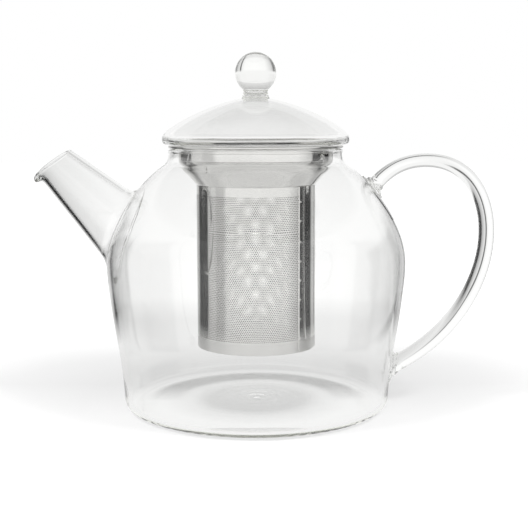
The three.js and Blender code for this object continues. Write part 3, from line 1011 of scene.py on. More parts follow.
def spot_weld_tree():
    """A row of weld marks up the seam."""
    sizes = {
        "Mark": "NodeSocketObject",
        "Welds": "NodeSocketInt",
        "Lowest": "NodeSocketFloat",
        "Spacing": "NodeSocketFloat",
        "Radius": "NodeSocketFloat",
        "Angle": "NodeSocketFloat",
    }
    tree = new_tree("Spot welds up the seam", sizes)
    nodes, links = tree.nodes, tree.links

    given = nodes.new("NodeGroupInput")
    given.label = "Sizes of the row"
    index = nodes.new("GeometryNodeInputIndex")
    index.label = "Weld number"
    height = nodes.new("ShaderNodeMath")
    height.label = "Height of the weld"
    outwards = nodes.new("ShaderNodeMath")
    outwards.label = "Angle 0 is the front"
    spot = nodes.new("ShaderNodeCombineXYZ")
    spot.label = "Weld at the front"
    turned = nodes.new("ShaderNodeVectorRotate")
    turned.label = "Round to the seam"
    marks = nodes.new("GeometryNodePoints")
    marks.label = "One point for each weld"
    mark = nodes.new("GeometryNodeObjectInfo")
    mark.label = "Weld mark"
    facing = nodes.new("ShaderNodeCombineXYZ")
    facing.label = "Mark faces outwards"
    put = nodes.new("GeometryNodeInstanceOnPoints")
    put.label = "Put the marks"
    realize = nodes.new("GeometryNodeRealizeInstances")
    realize.label = "One mesh"
    finish = nodes.new("GeometryNodeSetMaterial")
    finish.label = "Finish"
    result = nodes.new("NodeGroupOutput")
    result.label = "Weld marks"
    lay_out(nodes)

    height.operation = "MULTIPLY_ADD"
    outwards.operation = "MULTIPLY"
    outwards.inputs[1].default_value = -1
    turned.rotation_type = "Z_AXIS"

    links.new(index.outputs[0], height.inputs[0])
    links.new(given.outputs["Spacing"], height.inputs[1])
    links.new(given.outputs["Lowest"], height.inputs[2])
    links.new(given.outputs["Radius"], outwards.inputs[0])
    links.new(outwards.outputs[0], spot.inputs["Y"])
    links.new(height.outputs[0], spot.inputs["Z"])
    links.new(spot.outputs[0], turned.inputs["Vector"])
    links.new(given.outputs["Angle"], turned.inputs["Angle"])
    links.new(given.outputs["Welds"], marks.inputs["Count"])
    links.new(turned.outputs[0], marks.inputs["Position"])
    links.new(given.outputs["Mark"], mark.inputs["Object"])
    links.new(given.outputs["Angle"], facing.inputs["Z"])
    links.new(marks.outputs[0], put.inputs["Points"])
    links.new(mark.outputs["Geometry"], put.inputs["Instance"])
    links.new(facing.outputs[0], put.inputs["Rotation"])
    links.new(put.outputs[0], realize.inputs[0])
    links.new(realize.outputs[0], finish.inputs["Geometry"])
    links.new(given.outputs["Finish"], finish.inputs["Material"])
    links.new(finish.outputs[0], result.inputs[0])
    return tree


# ---- materials


def glass_finish(name, seed, cord_scale, cord_depth):
    """Clear borosilicate: a faint tint, soft cords from the blowing, and a trace of handling."""
    material = bpy.data.materials.new(name)
    material.use_nodes = True
    nodes, links = material.node_tree.nodes, material.node_tree.links
    nodes.clear()
    tint = bpy.context.scene.teapot_finish.glass

    place = nodes.new("ShaderNodeTexCoord")
    place.label = "Place on the teapot"
    shift = nodes.new("ShaderNodeMapping")
    shift.label = "A pattern of its own for each piece"
    tint_noise = nodes.new("ShaderNodeTexNoise")
    tint_noise.label = "Slow change of tint"
    tint_ramp = nodes.new("ShaderNodeValToRGB")
    tint_ramp.label = "Clear to faintly green"
    cords = nodes.new("ShaderNodeTexNoise")
    cords.label = "Drawn-out cords"
    cord_bump = nodes.new("ShaderNodeBump")
    cord_bump.label = "Cords bend the light"
    touch = nodes.new("ShaderNodeTexNoise")
    touch.label = "Faint smudges"
    touch_range = nodes.new("ShaderNodeMapRange")
    touch_range.label = "Smudges are a little duller"
    surface = nodes.new("ShaderNodeBsdfPrincipled")
    surface.label = "Clear glass"
    body = nodes.new("ShaderNodeVolumeAbsorption")
    body.label = "Colour in the thick edges"
    result = nodes.new("ShaderNodeOutputMaterial")
    result.label = "Glass"
    for effect, members in (
        ("Tint", (tint_noise, tint_ramp)),
        ("Cords in the surface", (cords, cord_bump)),
        ("Handling", (touch, touch_range)),
    ):
        group = nodes.new("NodeFrame")
        group.label = effect
        for node in members:
            node.parent = group
    lay_out(nodes)

    shift.inputs["Location"].default_value = (seed, 2 * seed, 0)
    tint_noise.inputs["Scale"].default_value = 14
    tint_ramp.color_ramp.elements[0].color = (tint[0], tint[1], tint[2], 1)
    tint_ramp.color_ramp.elements[1].color = (1, 1, 1, 1)
    cords.inputs["Scale"].default_value = cord_scale
    cords.inputs["Detail"].default_value = 1.5
    cords.inputs["Distortion"].default_value = 0.3
    cord_bump.inputs["Strength"].default_value = 1
    cord_bump.inputs["Distance"].default_value = cord_depth
    touch.inputs["Scale"].default_value = 40
    touch.inputs["Detail"].default_value = 4
    for name, limit in zip(RANGE, (0.5, 0.8, 0, 0.012)):
        touch_range.inputs[name].default_value = limit
    surface.inputs["Transmission Weight"].default_value = 1
    surface.inputs["IOR"].default_value = 1.47
    body.inputs["Color"].default_value = (0.85, 0.86, 0.8, 1)
    body.inputs["Density"].default_value = 9

    links.new(place.outputs["Object"], shift.inputs["Vector"])
    links.new(shift.outputs["Vector"], tint_noise.inputs["Vector"])
    links.new(tint_noise.outputs["Fac"], tint_ramp.inputs["Fac"])
    links.new(tint_ramp.outputs["Color"], surface.inputs["Base Color"])
    links.new(shift.outputs["Vector"], cords.inputs["Vector"])
    links.new(cords.outputs["Fac"], cord_bump.inputs["Height"])
    links.new(cord_bump.outputs["Normal"], surface.inputs["Normal"])
    links.new(shift.outputs["Vector"], touch.inputs["Vector"])
    links.new(touch.outputs["Fac"], touch_range.inputs["Value"])
    links.new(touch_range.outputs["Result"], surface.inputs["Roughness"])
    links.new(surface.outputs["BSDF"], result.inputs["Surface"])
    links.new(body.outputs["Volume"], result.inputs["Volume"])
    return material


def steel_finish(name, polish, line_depth, grain, painted_shade_within=0.0, ground_below=0.0):
    """Stainless steel: fine level lines, faint mottling, painted shade on the inner skin and a ground
    lower edge.
    """
    material = bpy.data.materials.new(name)
    material.use_nodes = True
    nodes, links = material.node_tree.nodes, material.node_tree.links
    nodes.clear()
    steel = bpy.context.scene.teapot_finish.steel

    place = nodes.new("ShaderNodeTexCoord")
    place.label = "Place on the teapot"
    stretch = nodes.new("ShaderNodeMapping")
    stretch.label = "Lines run round the infuser"
    lines = nodes.new("ShaderNodeTexNoise")
    lines.label = "Fine lines"
    dullness = nodes.new("ShaderNodeMapRange")
    dullness.label = "Lines scatter the light"
    line_bump = nodes.new("ShaderNodeBump")
    line_bump.label = "Depth of the lines"
    mottle = nodes.new("ShaderNodeTexNoise")
    mottle.label = "Cloudy mottling"
    colour = nodes.new("ShaderNodeValToRGB")
    colour.label = "Darker and lighter steel"
    parts = nodes.new("ShaderNodeSeparateXYZ")
    parts.label = "Right, back and up"
    level = nodes.new("ShaderNodeCombineXYZ")
    level.label = "Place in the level plane"
    radius = nodes.new("ShaderNodeVectorMath")
    radius.label = "Distance from the axis"
    outside = nodes.new("ShaderNodeMapRange")
    outside.label = "Outer skin"
    # Painted shade: the steel's colour is darkened on the inner skin and the holes' walls, to stand for
    # the dim inside of the tube.
    painted_inner_shade = nodes.new("ShaderNodeMix")
    painted_inner_shade.label = "Painted shade on the inner skin"
    ground = nodes.new("ShaderNodeMapRange")
    ground.label = "Below the holes"
    roughness = nodes.new("ShaderNodeMath")
    roughness.label = "Polish, or grinding"
    surface = nodes.new("ShaderNodeBsdfPrincipled")
    surface.label = "Stainless steel"
    result = nodes.new("ShaderNodeOutputMaterial")
    result.label = "Steel"
    for effect, members in (
        ("Rolling lines", (stretch, lines, dullness, line_bump)),
        ("Mottled colour", (mottle, colour)),
        ("Painted shade inside", (parts, level, radius, outside, painted_inner_shade)),
        ("Ground lower edge", (ground, roughness)),
    ):
        group = nodes.new("NodeFrame")
        group.label = effect
        for node in members:
            node.parent = group
    lay_out(nodes)

    stretch.inputs["Scale"].default_value = (30, 30, grain)
    lines.inputs["Scale"].default_value = 1
    lines.inputs["Detail"].default_value = 3
    for node, *limits in (
        (dullness, 0.3, 0.7, polish, polish + 0.05),
        (outside, painted_shade_within - 0.3 * MM, painted_shade_within - 0.05 * MM, 0, 1),
        (ground, ground_below - 0.2 * MM, ground_below + 0.2 * MM, 0.34, 0),
    ):
        for name, limit in zip(RANGE, limits):
            node.inputs[name].default_value = limit
    line_bump.inputs["Strength"].default_value = 1
    line_bump.inputs["Distance"].default_value = line_depth
    mottle.inputs["Scale"].default_value = 55
    mottle.inputs["Detail"].default_value = 5
    colour.color_ramp.elements[0].position = 0.35
    colour.color_ramp.elements[0].color = (0.94 * steel[0], 0.94 * steel[1], 0.94 * steel[2], 1)
    colour.color_ramp.elements[1].position = 0.65
    colour.color_ramp.elements[1].color = (steel[0], steel[1], steel[2], 1)
    radius.operation = "LENGTH"
    # Painted shade: the inner skin takes three tenths of the steel's colour.
    painted_inner_shade.data_type = "RGBA"
    painted_inner_shade.inputs["A"].default_value = (0.3 * steel[0], 0.3 * steel[1], 0.3 * steel[2], 1)
    roughness.operation = "MAXIMUM"
    surface.inputs["Metallic"].default_value = 1

    links.new(place.outputs["Object"], parts.inputs[0])
    links.new(parts.outputs["X"], level.inputs["X"])
    links.new(parts.outputs["Y"], level.inputs["Y"])
    links.new(level.outputs[0], radius.inputs[0])
    links.new(radius.outputs["Value"], outside.inputs["Value"])
    links.new(outside.outputs["Result"], painted_inner_shade.inputs["Factor"])
    links.new(colour.outputs["Color"], painted_inner_shade.inputs["B"])
    links.new(painted_inner_shade.outputs["Result"], surface.inputs["Base Color"])
    links.new(parts.outputs["Z"], ground.inputs["Value"])
    links.new(ground.outputs["Result"], roughness.inputs[0])
    links.new(dullness.outputs["Result"], roughness.inputs[1])
    links.new(roughness.outputs[0], surface.inputs["Roughness"])
    links.new(place.outputs["Object"], stretch.inputs["Vector"])
    links.new(stretch.outputs["Vector"], lines.inputs["Vector"])
    links.new(lines.outputs["Fac"], dullness.inputs["Value"])
    links.new(lines.outputs["Fac"], line_bump.inputs["Height"])
    links.new(line_bump.outputs["Normal"], surface.inputs["Normal"])
    links.new(place.outputs["Object"], mottle.inputs["Vector"])
    links.new(mottle.outputs["Fac"], colour.inputs["Fac"])
    links.new(surface.outputs["BSDF"], result.inputs["Surface"])
    return material


def floor_finish():
    """A pale floor: plain paper with a painted glow, painted light in front and painted shade just behind,
    to the camera; to everything else part of the striped surround, with painted shadows under the teapot.
    """
    material = bpy.data.materials.new("pale_floor")
    material.use_nodes = True
    nodes, links = material.node_tree.nodes, material.node_tree.links
    nodes.clear()

    paper = nodes.new("ShaderNodeBsdfDiffuse")
    paper.label = "Paper that takes the shadows"
    # Painted glow: the floor gives off light of its own, less near the teapot and more in front, with a
    # painted shade just behind.
    painted_glow = nodes.new("ShaderNodeEmission")
    painted_glow.label = "Painted glow of the paper"
    painted_glow_range = nodes.new("ShaderNodeMapRange")
    painted_glow_range.label = "Painted glow, weaker in the middle where the lamps light"
    front = nodes.new("ShaderNodeMapRange")
    front.label = "Painted light in front, painted shade just behind"
    glow = nodes.new("ShaderNodeMath")
    glow.label = "Both"
    plain = nodes.new("ShaderNodeAddShader")
    plain.label = "Paper and its painted glow"
    place = nodes.new("ShaderNodeTexCoord")
    place.label = "Place on the floor"
    parts = nodes.new("ShaderNodeSeparateXYZ")
    parts.label = "Right and back"
    around = nodes.new("ShaderNodeMath")
    around.label = "Angle from the back to the right"
    share = nodes.new("ShaderNodeMath")
    share.label = "Share of a turn, the back in the middle"
    strips = nodes.new("ShaderNodeValToRGB")
    strips.label = "The tent's strips go on across the floor"
    distance = nodes.new("ShaderNodeVectorMath")
    distance.label = "Distance from the teapot's axis"
    beyond = nodes.new("ShaderNodeMapRange")
    beyond.label = "Strips begin beyond the teapot"
    tenths = nodes.new("ShaderNodeMath")
    tenths.label = "In tenths of a metre"
    # Painted shadows: the infuser's and the rim's shade are painted into the light that the glass sees
    # from the floor under the teapot.
    under = nodes.new("ShaderNodeValToRGB")
    under.label = "Shade under the infuser"
    behind = nodes.new("ShaderNodeValToRGB")
    behind.label = "Shade under the infuser and the rim"
    pulled = nodes.new("ShaderNodeVectorMath")
    pulled.label = "The shade falls to the back"
    shade_distance = nodes.new("ShaderNodeVectorMath")
    shade_distance.label = "Distance from the shade's middle"
    back = nodes.new("ShaderNodeMapRange")
    back.label = "The rim's shade shows at the back"
    rim_shade = nodes.new("ShaderNodeMix")
    rim_shade.label = "Both shades"
    outer = nodes.new("ShaderNodeMapRange")
    outer.label = "Brighter towards the tent"
    near = nodes.new("ShaderNodeMix")
    near.label = "Shade near, full light far"
    striped = nodes.new("ShaderNodeMix")
    striped.label = "White near the teapot, strips beyond"
    shaded = nodes.new("ShaderNodeMix")
    shaded.label = "With the shade"
    seen = nodes.new("ShaderNodeEmission")
    seen.label = "What the glass and the steel see"
    rays = nodes.new("ShaderNodeLightPath")
    rays.label = "Straight from the camera"
    choose = nodes.new("ShaderNodeMixShader")
    choose.label = "Surround or paper"
    result = nodes.new("ShaderNodeOutputMaterial")
    result.label = "Floor"
    for effect, members in (
        ("Lit paper and painted glow", (paper, painted_glow, painted_glow_range, front, glow, plain)),
        ("Strips across the floor", (around, share, strips, distance, beyond, striped)),
        ("Shade under the teapot", (tenths, under, behind, pulled, shade_distance, back, rim_shade)),
        ("Shade and strips together", (outer, near, shaded, seen)),
    ):
        group = nodes.new("NodeFrame")
        group.label = effect
        for node in members:
            node.parent = group
    lay_out(nodes)

    paper.inputs["Color"].default_value = (0.3, 0.3, 0.3, 1)
    # The painted glow: weaker near the teapot, painted light in front and painted shade just behind.
    for node, *limits in (
        (painted_glow_range, 0.09, 0.35, 0.58, 0.9),
        (front, -25 * MM, 40 * MM, 0.1, -0.03),
        (beyond, 0.16, 0.24, 0, 1),
        (back, -2 * MM, 30 * MM, 0, 1),
        (outer, 0.1, 0.34, 0, 1),
    ):
        for name, limit in zip(RANGE, limits):
            node.inputs[name].default_value = limit
    share.inputs[1].default_value = 1 / (2 * math.pi)
    share.inputs[2].default_value = 0.5
    fill_ramp(strips, [(0.5 + angle / 360, value) for angle, value in SURROUND])
    seen.inputs["Strength"].default_value = BRIGHT_CLOTH
    for node, operation in (
        (around, "ARCTAN2"), (share, "MULTIPLY_ADD"), (distance, "LENGTH"),
        (shade_distance, "LENGTH"), (pulled, "ADD"), (tenths, "MULTIPLY"),
    ):
        node.operation = operation
    tenths.inputs[1].default_value = 10
    pulled.inputs[1].default_value = (0, -4 * MM, 0)
    # Painted shadows under the infuser and the rim.
    fill_ramp(under, ((0.0, 0.4), (0.24, 0.4), (0.34, 0.62), (0.5, 0.76), (0.78, 0.76), (1.0, 0.7)))
    fill_ramp(behind, ((0.0, 0.38), (0.26, 0.38), (0.33, 0.5), (0.37, 0.5), (0.42, 0.14), (0.53, 0.14),
                       (0.57, 0.6), (1.0, 0.62)))
    rim_shade.data_type = "RGBA"
    near.data_type = "RGBA"
    near.inputs["B"].default_value = (1, 1, 1, 1)
    striped.data_type = "RGBA"
    striped.inputs["A"].default_value = (1, 1, 1, 1)
    shaded.data_type = "RGBA"
    shaded.blend_type = "MULTIPLY"
    shaded.inputs["Factor"].default_value = 1

    links.new(distance.outputs["Value"], painted_glow_range.inputs["Value"])
    links.new(parts.outputs["Y"], front.inputs["Value"])
    links.new(painted_glow_range.outputs["Result"], glow.inputs[0])
    links.new(front.outputs["Result"], glow.inputs[1])
    links.new(glow.outputs[0], painted_glow.inputs["Strength"])
    links.new(paper.outputs[0], plain.inputs[0])
    links.new(painted_glow.outputs[0], plain.inputs[1])
    links.new(place.outputs["Object"], parts.inputs[0])
    links.new(parts.outputs["X"], around.inputs[0])
    links.new(parts.outputs["Y"], around.inputs[1])
    links.new(around.outputs[0], share.inputs[0])
    links.new(share.outputs[0], strips.inputs["Fac"])
    links.new(place.outputs["Object"], distance.inputs[0])
    links.new(distance.outputs["Value"], beyond.inputs["Value"])
    links.new(place.outputs["Object"], pulled.inputs[0])
    links.new(pulled.outputs[0], shade_distance.inputs[0])
    links.new(shade_distance.outputs["Value"], tenths.inputs[0])
    links.new(tenths.outputs[0], under.inputs["Fac"])
    links.new(tenths.outputs[0], behind.inputs["Fac"])
    links.new(parts.outputs["Y"], back.inputs["Value"])
    links.new(back.outputs["Result"], rim_shade.inputs["Factor"])
    links.new(under.outputs["Color"], rim_shade.inputs["A"])
    links.new(behind.outputs["Color"], rim_shade.inputs["B"])
    links.new(distance.outputs["Value"], outer.inputs["Value"])
    links.new(outer.outputs["Result"], near.inputs["Factor"])
    links.new(rim_shade.outputs["Result"], near.inputs["A"])
    links.new(beyond.outputs["Result"], striped.inputs["Factor"])
    links.new(strips.outputs["Color"], striped.inputs["B"])
    links.new(striped.outputs["Result"], shaded.inputs["A"])
    links.new(near.outputs["Result"], shaded.inputs["B"])
    links.new(shaded.outputs["Result"], seen.inputs["Color"])
    links.new(rays.outputs["Is Camera Ray"], choose.inputs["Fac"])
    links.new(seen.outputs[0], choose.inputs[1])
    links.new(plain.outputs[0], choose.inputs[2])
    links.new(choose.outputs[0], result.inputs["Surface"])
    return material


# ---- pot


def vessel_radius_at(outline):
    """A function that gives the vessel's outer radius at heights, from its outer line."""
    side = [(r, z) for r, z in outline if r > 60.5 * MM or z > 1 * MM]
    radii, heights = np.array([p for p in side if p[0] > 40 * MM]).T
    return lambda height: np.interp(height, heights, radii)


def met_wall(starts, directions, reach, radius_at, gap=0.0):
    """Where lines from outside the vessel inwards meet its wall, when that is moved out by a gap."""
    near, far = np.zeros(len(starts)), np.full(len(starts), reach)
    for _ in range(50):
        half = (near + far) / 2
        points = starts + directions * half[:, None]
        outside = np.hypot(points[:, 0], points[:, 1]) > radius_at(points[:, 2]) + gap
        near, far = np.where(outside, half, near), np.where(outside, far, half)
    return starts + directions * near[:, None]


class SpoutForm:
    """The cone that the spout follows. Distances along it run from the mouth into the vessel."""

    sides = 120

    def __init__(self, pot):
        elevation = math.radians(43.7)
        mouth_elevation = math.radians(55)
        self.mouth = np.array((-101 * MM, 0, 123.4 * MM))
        self.down = np.array((math.cos(elevation), 0, -math.sin(elevation)))
        self.face = np.array((-math.cos(mouth_elevation), 0, math.sin(mouth_elevation)))
        self.slope = math.tan(math.radians(9))
        self.mouth_radius = pot.spout_mouth_radius
        angles = np.linspace(0, 2 * math.pi, self.sides, endpoint=False)
        low = np.cross(self.down, (0, 1, 0))
        low = low if low[2] < 0 else -low
        side = np.array((0, 1, 0))
        self.lowness = np.cos(angles)
        self.out = np.outer(np.cos(angles), low) + np.outer(np.sin(angles), side)

    def start(self, grown=0.0):
        """Points of the mouth's rim, on the cone whose radius is grown by a distance."""
        radius = self.mouth_radius + grown
        along = self.down @ self.face + self.slope * (self.out @ self.face)
        reach = -(self.out @ self.face) * radius / along
        return self.mouth + np.outer(reach, self.down) + self.out * (radius + self.slope * reach)[:, None]

    def ruling(self):
        """Directions of the cone's straight lines, away from the mouth."""
        lines = self.down + self.out * self.slope
        return lines / np.linalg.norm(lines, axis=1)[:, None]

    def solid(self, grown, reach):
        """A closed cone for cutting, as corners and faces."""
        ends = []
        for distance in (-reach, reach):
            radius = self.mouth_radius + grown + self.slope * distance
            ends.append(self.mouth + self.down * distance + self.out * radius)
        faces = ring_faces(2, self.sides)
        faces += [tuple(range(self.sides)), tuple(range(2 * self.sides - 1, self.sides - 1, -1))]
        return np.concatenate(ends), faces


def spout_mesh(pot):
    """The spout: rim, outer wall, foot in the shoulder, inner wall, as one closed ring of rings."""
    form = SpoutForm(pot)
    outline = vessel_outline(pot)
    radius_at = vessel_radius_at(outline)
    reach = 90 * MM
    lines = form.ruling()
    wall, foot = pot.spout_wall, pot.spout_foot
    blend = 5.5 * MM

    outer_start, inner_start = form.start(), form.start(-wall)
    outer_meet = met_wall(outer_start, lines, reach, radius_at)
    foot_meet = met_wall(form.start(foot), lines, reach, radius_at)
    inner_meet = met_wall(inner_start, lines, reach, radius_at, -pot.wall)
    foot_inner = met_wall(form.start(foot), lines, reach, radius_at, -pot.wall)

    def curve(start, corner, end, steps):
        """Rings that turn from a start ring to an end ring, past a corner ring."""
        shares = np.linspace(0, 1, steps + 1)
        return [(1 - t) ** 2 * start + 2 * t * (1 - t) * corner + t * t * end for t in shares]

    outer_turn = outer_meet - lines * blend
    inner_turn = inner_meet - lines * blend
    outer_lengths = np.linalg.norm(outer_turn - outer_start, axis=1)
    inner_lengths = np.linalg.norm(inner_turn - inner_start, axis=1)
    shares = np.linspace(0, 1, 31) ** 1.6
    outer = [outer_start + lines * (outer_lengths * t)[:, None] for t in shares]
    inner = [inner_start + lines * (inner_lengths * t)[:, None] for t in shares]

    # The lip: the mouth's lowest edge is pulled out and down, on both walls.
    pull = pot.drip_lip * np.exp(-(np.arccos(np.clip(form.lowness, -1, 1)) / 0.5) ** 2)
    outwards = form.out - form.face * 0.35
    for rings, start in ((outer, outer_start), (inner, inner_start)):
        depth = 0.55 if rings is inner else 1.0
        for i, ring in enumerate(rings):
            away = np.linalg.norm(ring - start, axis=1)
            bulge = pull * np.exp(-(away / (2.7 * MM)) ** 2) * depth
            rings[i] = ring + outwards * bulge[:, None]

    # The rim rolls over from the outer wall to the inner one.
    rim_out, rim_in = outer[0], inner[0]
    middle, half = (rim_out + rim_in) / 2, (rim_out - rim_in) / 2
    height = np.linalg.norm(half, axis=1)[:, None] * form.face
    turns = np.linspace(0, math.pi, 11)[1:-1]
    rim = [middle + half * math.cos(a) + height * math.sin(a) for a in turns]

    rings = outer
    rings += curve(outer_turn, outer_meet, foot_meet, 14)[1:]
    rings.append(foot_meet + (foot_inner - foot_meet) * 0.5)
    rings += curve(inner_turn, inner_meet, foot_inner, 14)[::-1][:-1]
    rings += inner[::-1]
    rings += rim[::-1]
    corners = np.concatenate(rings)
    return mesh_object("spout_cone", corners, ring_faces(len(rings), form.sides, closed=True))


def handle_path():
    """The middle line of the handle's rod, from the shoulder over the crest to the flank."""
    top, low = (58.5 * MM, 110.5 * MM), (67 * MM, 18.5 * MM)
    crest = (85.5 * MM, 124.3 * MM)
    back = (116.4 * MM, 88 * MM)
    points = [top]
    points += bezier(top, (66 * MM, 120.5 * MM), (75 * MM, crest[1]), crest, steps=60)
    points += bezier(crest, (107.5 * MM, crest[1]), (back[0], 106 * MM), back, steps=80)
    points += bezier(back, (back[0], 57 * MM), (94.1 * MM, 30 * MM), low, steps=110)
    return np.array([(x, 0, z) for x, z in points])


def handle_mesh(pot):
    """The handle: a rod that swells downwards, with a melted pad against the wall at each end."""
    sides = 64
    path = handle_path()
    radius_at = vessel_radius_at(vessel_outline(pot))
    along = np.gradient(path, axis=0)
    along /= np.linalg.norm(along, axis=1)[:, None]
    clear = np.hypot(path[:, 0], path[:, 1]) - radius_at(path[:, 2])
    foot_height = 6.5 * MM
    used = np.where(clear > foot_height)[0]
    first, last = used[0], used[-1]

    angles = np.linspace(0, 2 * math.pi, sides, endpoint=False)
    side = np.array((0, 1, 0))

    def directions(i):
        """Unit vectors out from the path at one of its points, one for each side of the rod."""
        across = np.cross(along[i], side)
        return np.outer(np.cos(angles), across) + np.outer(np.sin(angles), side)

    travelled = np.concatenate([[0], np.cumsum(np.linalg.norm(np.diff(path, axis=0), axis=1))])
    share = travelled / travelled[-1]
    radii = np.interp(
        share,
        (0, 0.16, 0.45, 0.8, 1),
        (pot.handle_crest_radius * 1.12, pot.handle_crest_radius, 3.8 * MM, pot.handle_low_radius,
         pot.handle_low_radius),
    )
    radii = np.convolve(np.pad(radii, 12, mode="edge"), np.ones(25) / 25, mode="valid")
    rod = [path[i] + directions(i) * radii[i] for i in range(first, last + 1)]

    def foot(i, inwards, ripple):
        """Rings from the rod's end out to the pad's edge, and across its hidden underside."""
        out = directions(i)
        ring = path[i] + out * radii[i]
        heading = inwards / np.linalg.norm(inwards)
        lines = np.tile(heading, (sides, 1))
        outset = path[i] - heading * 12 * MM  # the pad's lines start here, clear of the wall
        reach = 80 * MM
        edge_radius = pot.handle_foot_radius * (1 + ripple * np.cos(5 * angles + 0.6))
        corner_start = path[i] + out * (radii[i] * 1.02)
        corner = met_wall(corner_start, lines, 60 * MM, radius_at, 1.2 * MM)
        edge = met_wall(outset + out * edge_radius[:, None], lines, reach, radius_at, 0.9 * MM)
        rings = []
        for t in np.linspace(0, 1, 25)[1:]:
            folds = np.sin(4 * math.pi * t + 2 * np.cos(3 * angles))
            lump = ripple * 5 * MM * math.sin(math.pi * t) * folds
            ring_there = (1 - t) ** 2 * ring + 2 * t * (1 - t) * corner + t * t * edge
            rings.append(ring_there + out * lump[:, None])
        underside = [(scale, FUSED_GAP) for scale in np.linspace(0.92, 0.08, 12)]
        for scale, gap in ((1.03, 0.45 * MM), (1.01, FUSED_GAP), *underside):
            start = outset + out * (edge_radius * scale)[:, None]
            rings.append(met_wall(start, lines, reach, radius_at, gap))
        centre = met_wall(outset[None], heading[None], reach, radius_at, FUSED_GAP)
        return rings, centre[0]

    top_rings, top_centre = foot(first, -along[first], 0.11)
    low_rings, low_centre = foot(last, along[last], 0.06)
    rings = top_rings[::-1] + rod + low_rings
    corners = np.concatenate(rings + [top_centre[None], low_centre[None]])
    faces = ring_faces(len(rings), sides)
    top_pole, low_pole = len(rings) * sides, len(rings) * sides + 1
    last_ring = (len(rings) - 1) * sides
    for s in range(sides):
        after = (s + 1) % sides
        faces.append((top_pole, after, s))
        faces.append((low_pole, last_ring + s, last_ring + after))
    return mesh_object("handle_rod", corners, faces)


class TEAPOT_OT_vessel(bpy.types.Operator):
    """Build the blown vessel, with its opening into the spout"""

    bl_idname = "teapot.vessel"
    bl_label = "Glass vessel"

    def execute(self, context):
        pot = context.scene.teapot_pot
        glass = glass_finish("vessel_glass", 0.0, 26, 0.05 * MM)
        shell = revolved("vessel_shell", vessel_section(pot), 168, glass)
        close_up(shell)
        cutter = mesh_object("spout_opening", *SpoutForm(pot).solid(pot.spout_foot + FUSED_GAP, 62 * MM))
        close_up(cutter)
        cut = shell.modifiers.new("Opening for the spout", "BOOLEAN")
        cut.object = cutter
        cut.operation = "DIFFERENCE"
        cut.solver = "EXACT"
        shell = made_plain(shell, "vessel_shell")
        bpy.data.objects.remove(cutter)
        piece = hand_blown(shell, "vessel", pot, glass)
        fit(piece, "pot", ["glass_vessel"], glass)
        return {"FINISHED"}


class TEAPOT_OT_spout(bpy.types.Operator):
    """Build the spout, with its drip lip and its foot in the shoulder"""

    bl_idname = "teapot.spout"
    bl_label = "Spout"

    def execute(self, context):
        pot = context.scene.teapot_pot
        glass = glass_finish("spout_glass", 0.4, 30, 0.04 * MM)
        piece = hand_blown(spout_mesh(pot), "spout_cone", pot, glass)
        fit(piece, "pot", ["spout"], glass)
        return {"FINISHED"}


class TEAPOT_OT_handle(bpy.types.Operator):
    """Build the handle, a glass rod with a melted pad at each end"""

    bl_idname = "teapot.handle"
    bl_label = "Handle"

    def execute(self, context):
        pot = context.scene.teapot_pot
        glass = glass_finish("handle_glass", 0.9, 30, 0.03 * MM)
        piece = hand_blown(handle_mesh(pot), "handle_rod", pot, glass)
        fit(piece, "pot", ["handle"], glass)
        return {"FINISHED"}


# ---- infuser


def collar_section(infuser):
    """The line round the collar's sheet: flange, drawn wall, funnel and welded sleeve."""
    sheet = infuser.sheet
    flange, bottom = COLLAR_HIGH.x - 0.75 * MM, COLLAR_HIGH.z - 1.5 * MM
    top = COLLAR_HIGH.z
    wall = 38.7 * MM
    bend = 125.2 * MM
    tube, tube_top = TUBE_HIGH.x, TUBE_HIGH.z
    sleeve = tube - SLEEVE_DEPTH
    joint = tube_top + 0.05 * MM
    line = [(flange, bottom)]
    line += bezier(line[-1], (wall + 0.9 * MM, bottom), steps=4)
    line += bezier(line[-1], (wall, bottom), (wall, bottom - 0.9 * MM), steps=8)
    line += bezier(line[-1], (wall, bend), steps=4)
    line += bezier(
        line[-1], (wall, 120.8 * MM), (34.8 * MM, 118 * MM), (tube + 0.35 * MM, joint + 0.5 * MM), steps=30
    )
    line += bezier(line[-1], (tube, joint + 0.2 * MM), (tube, joint), steps=5)
    line += bezier(line[-1], (sleeve, joint), (sleeve, joint - 0.3 * MM), steps=4)
    line += bezier(line[-1], (sleeve, tube_top - 4.5 * MM), steps=4)
    inner = sleeve - sheet
    line += bezier(line[-1], (inner, tube_top - 4.5 * MM), steps=2)
    line += bezier(line[-1], (inner, tube_top - 0.4 * MM), steps=4)
    line += bezier(
        line[-1], (inner, tube_top + 1.4 * MM), (34.8 * MM - sheet, 118 * MM + sheet),
        (wall - sheet, 120.8 * MM + sheet), (wall - sheet, bend), steps=34,
    )
    line += bezier(line[-1], (wall - sheet, top - 1.6 * MM), steps=4)
    line += bezier(line[-1], (wall - sheet, top), (wall - sheet + 1.6 * MM, top), steps=8)
    line += bezier(line[-1], (flange, top), steps=4)
    line += arc((flange, top - 0.75 * MM), 0.75 * MM, 90, -90, 12)[1:]
    return line


def dish_section(infuser):
    """The line round the base's rim: a rounded corner and a sleeve inside the tube."""
    sheet = infuser.sheet
    floor = TUBE_LOW.z + DISH_LIFT
    sleeve = TUBE_HIGH.x - SLEEVE_DEPTH
    disc = sleeve - 1.9 * MM
    line = [(disc, floor)]
    line += bezier(line[-1], (sleeve - 1.3 * MM, floor), steps=3)
    line += bezier(line[-1], (sleeve, floor), (sleeve, floor + 1.3 * MM), steps=10)
    line += bezier(line[-1], (sleeve, floor + 4.5 * MM), steps=4)
    line += bezier(line[-1], (sleeve - sheet, floor + 4.5 * MM), steps=2)
    line += bezier(line[-1], (sleeve - sheet, floor + 1.3 * MM), steps=4)
    line += bezier(
        line[-1], (sleeve - sheet, floor + sheet), (sleeve - 1.3 * MM, floor + sheet), steps=8
    )
    line += bezier(line[-1], (disc, floor + sheet), steps=3)
    line += bezier(line[-1], (disc, floor), steps=2)
    return line


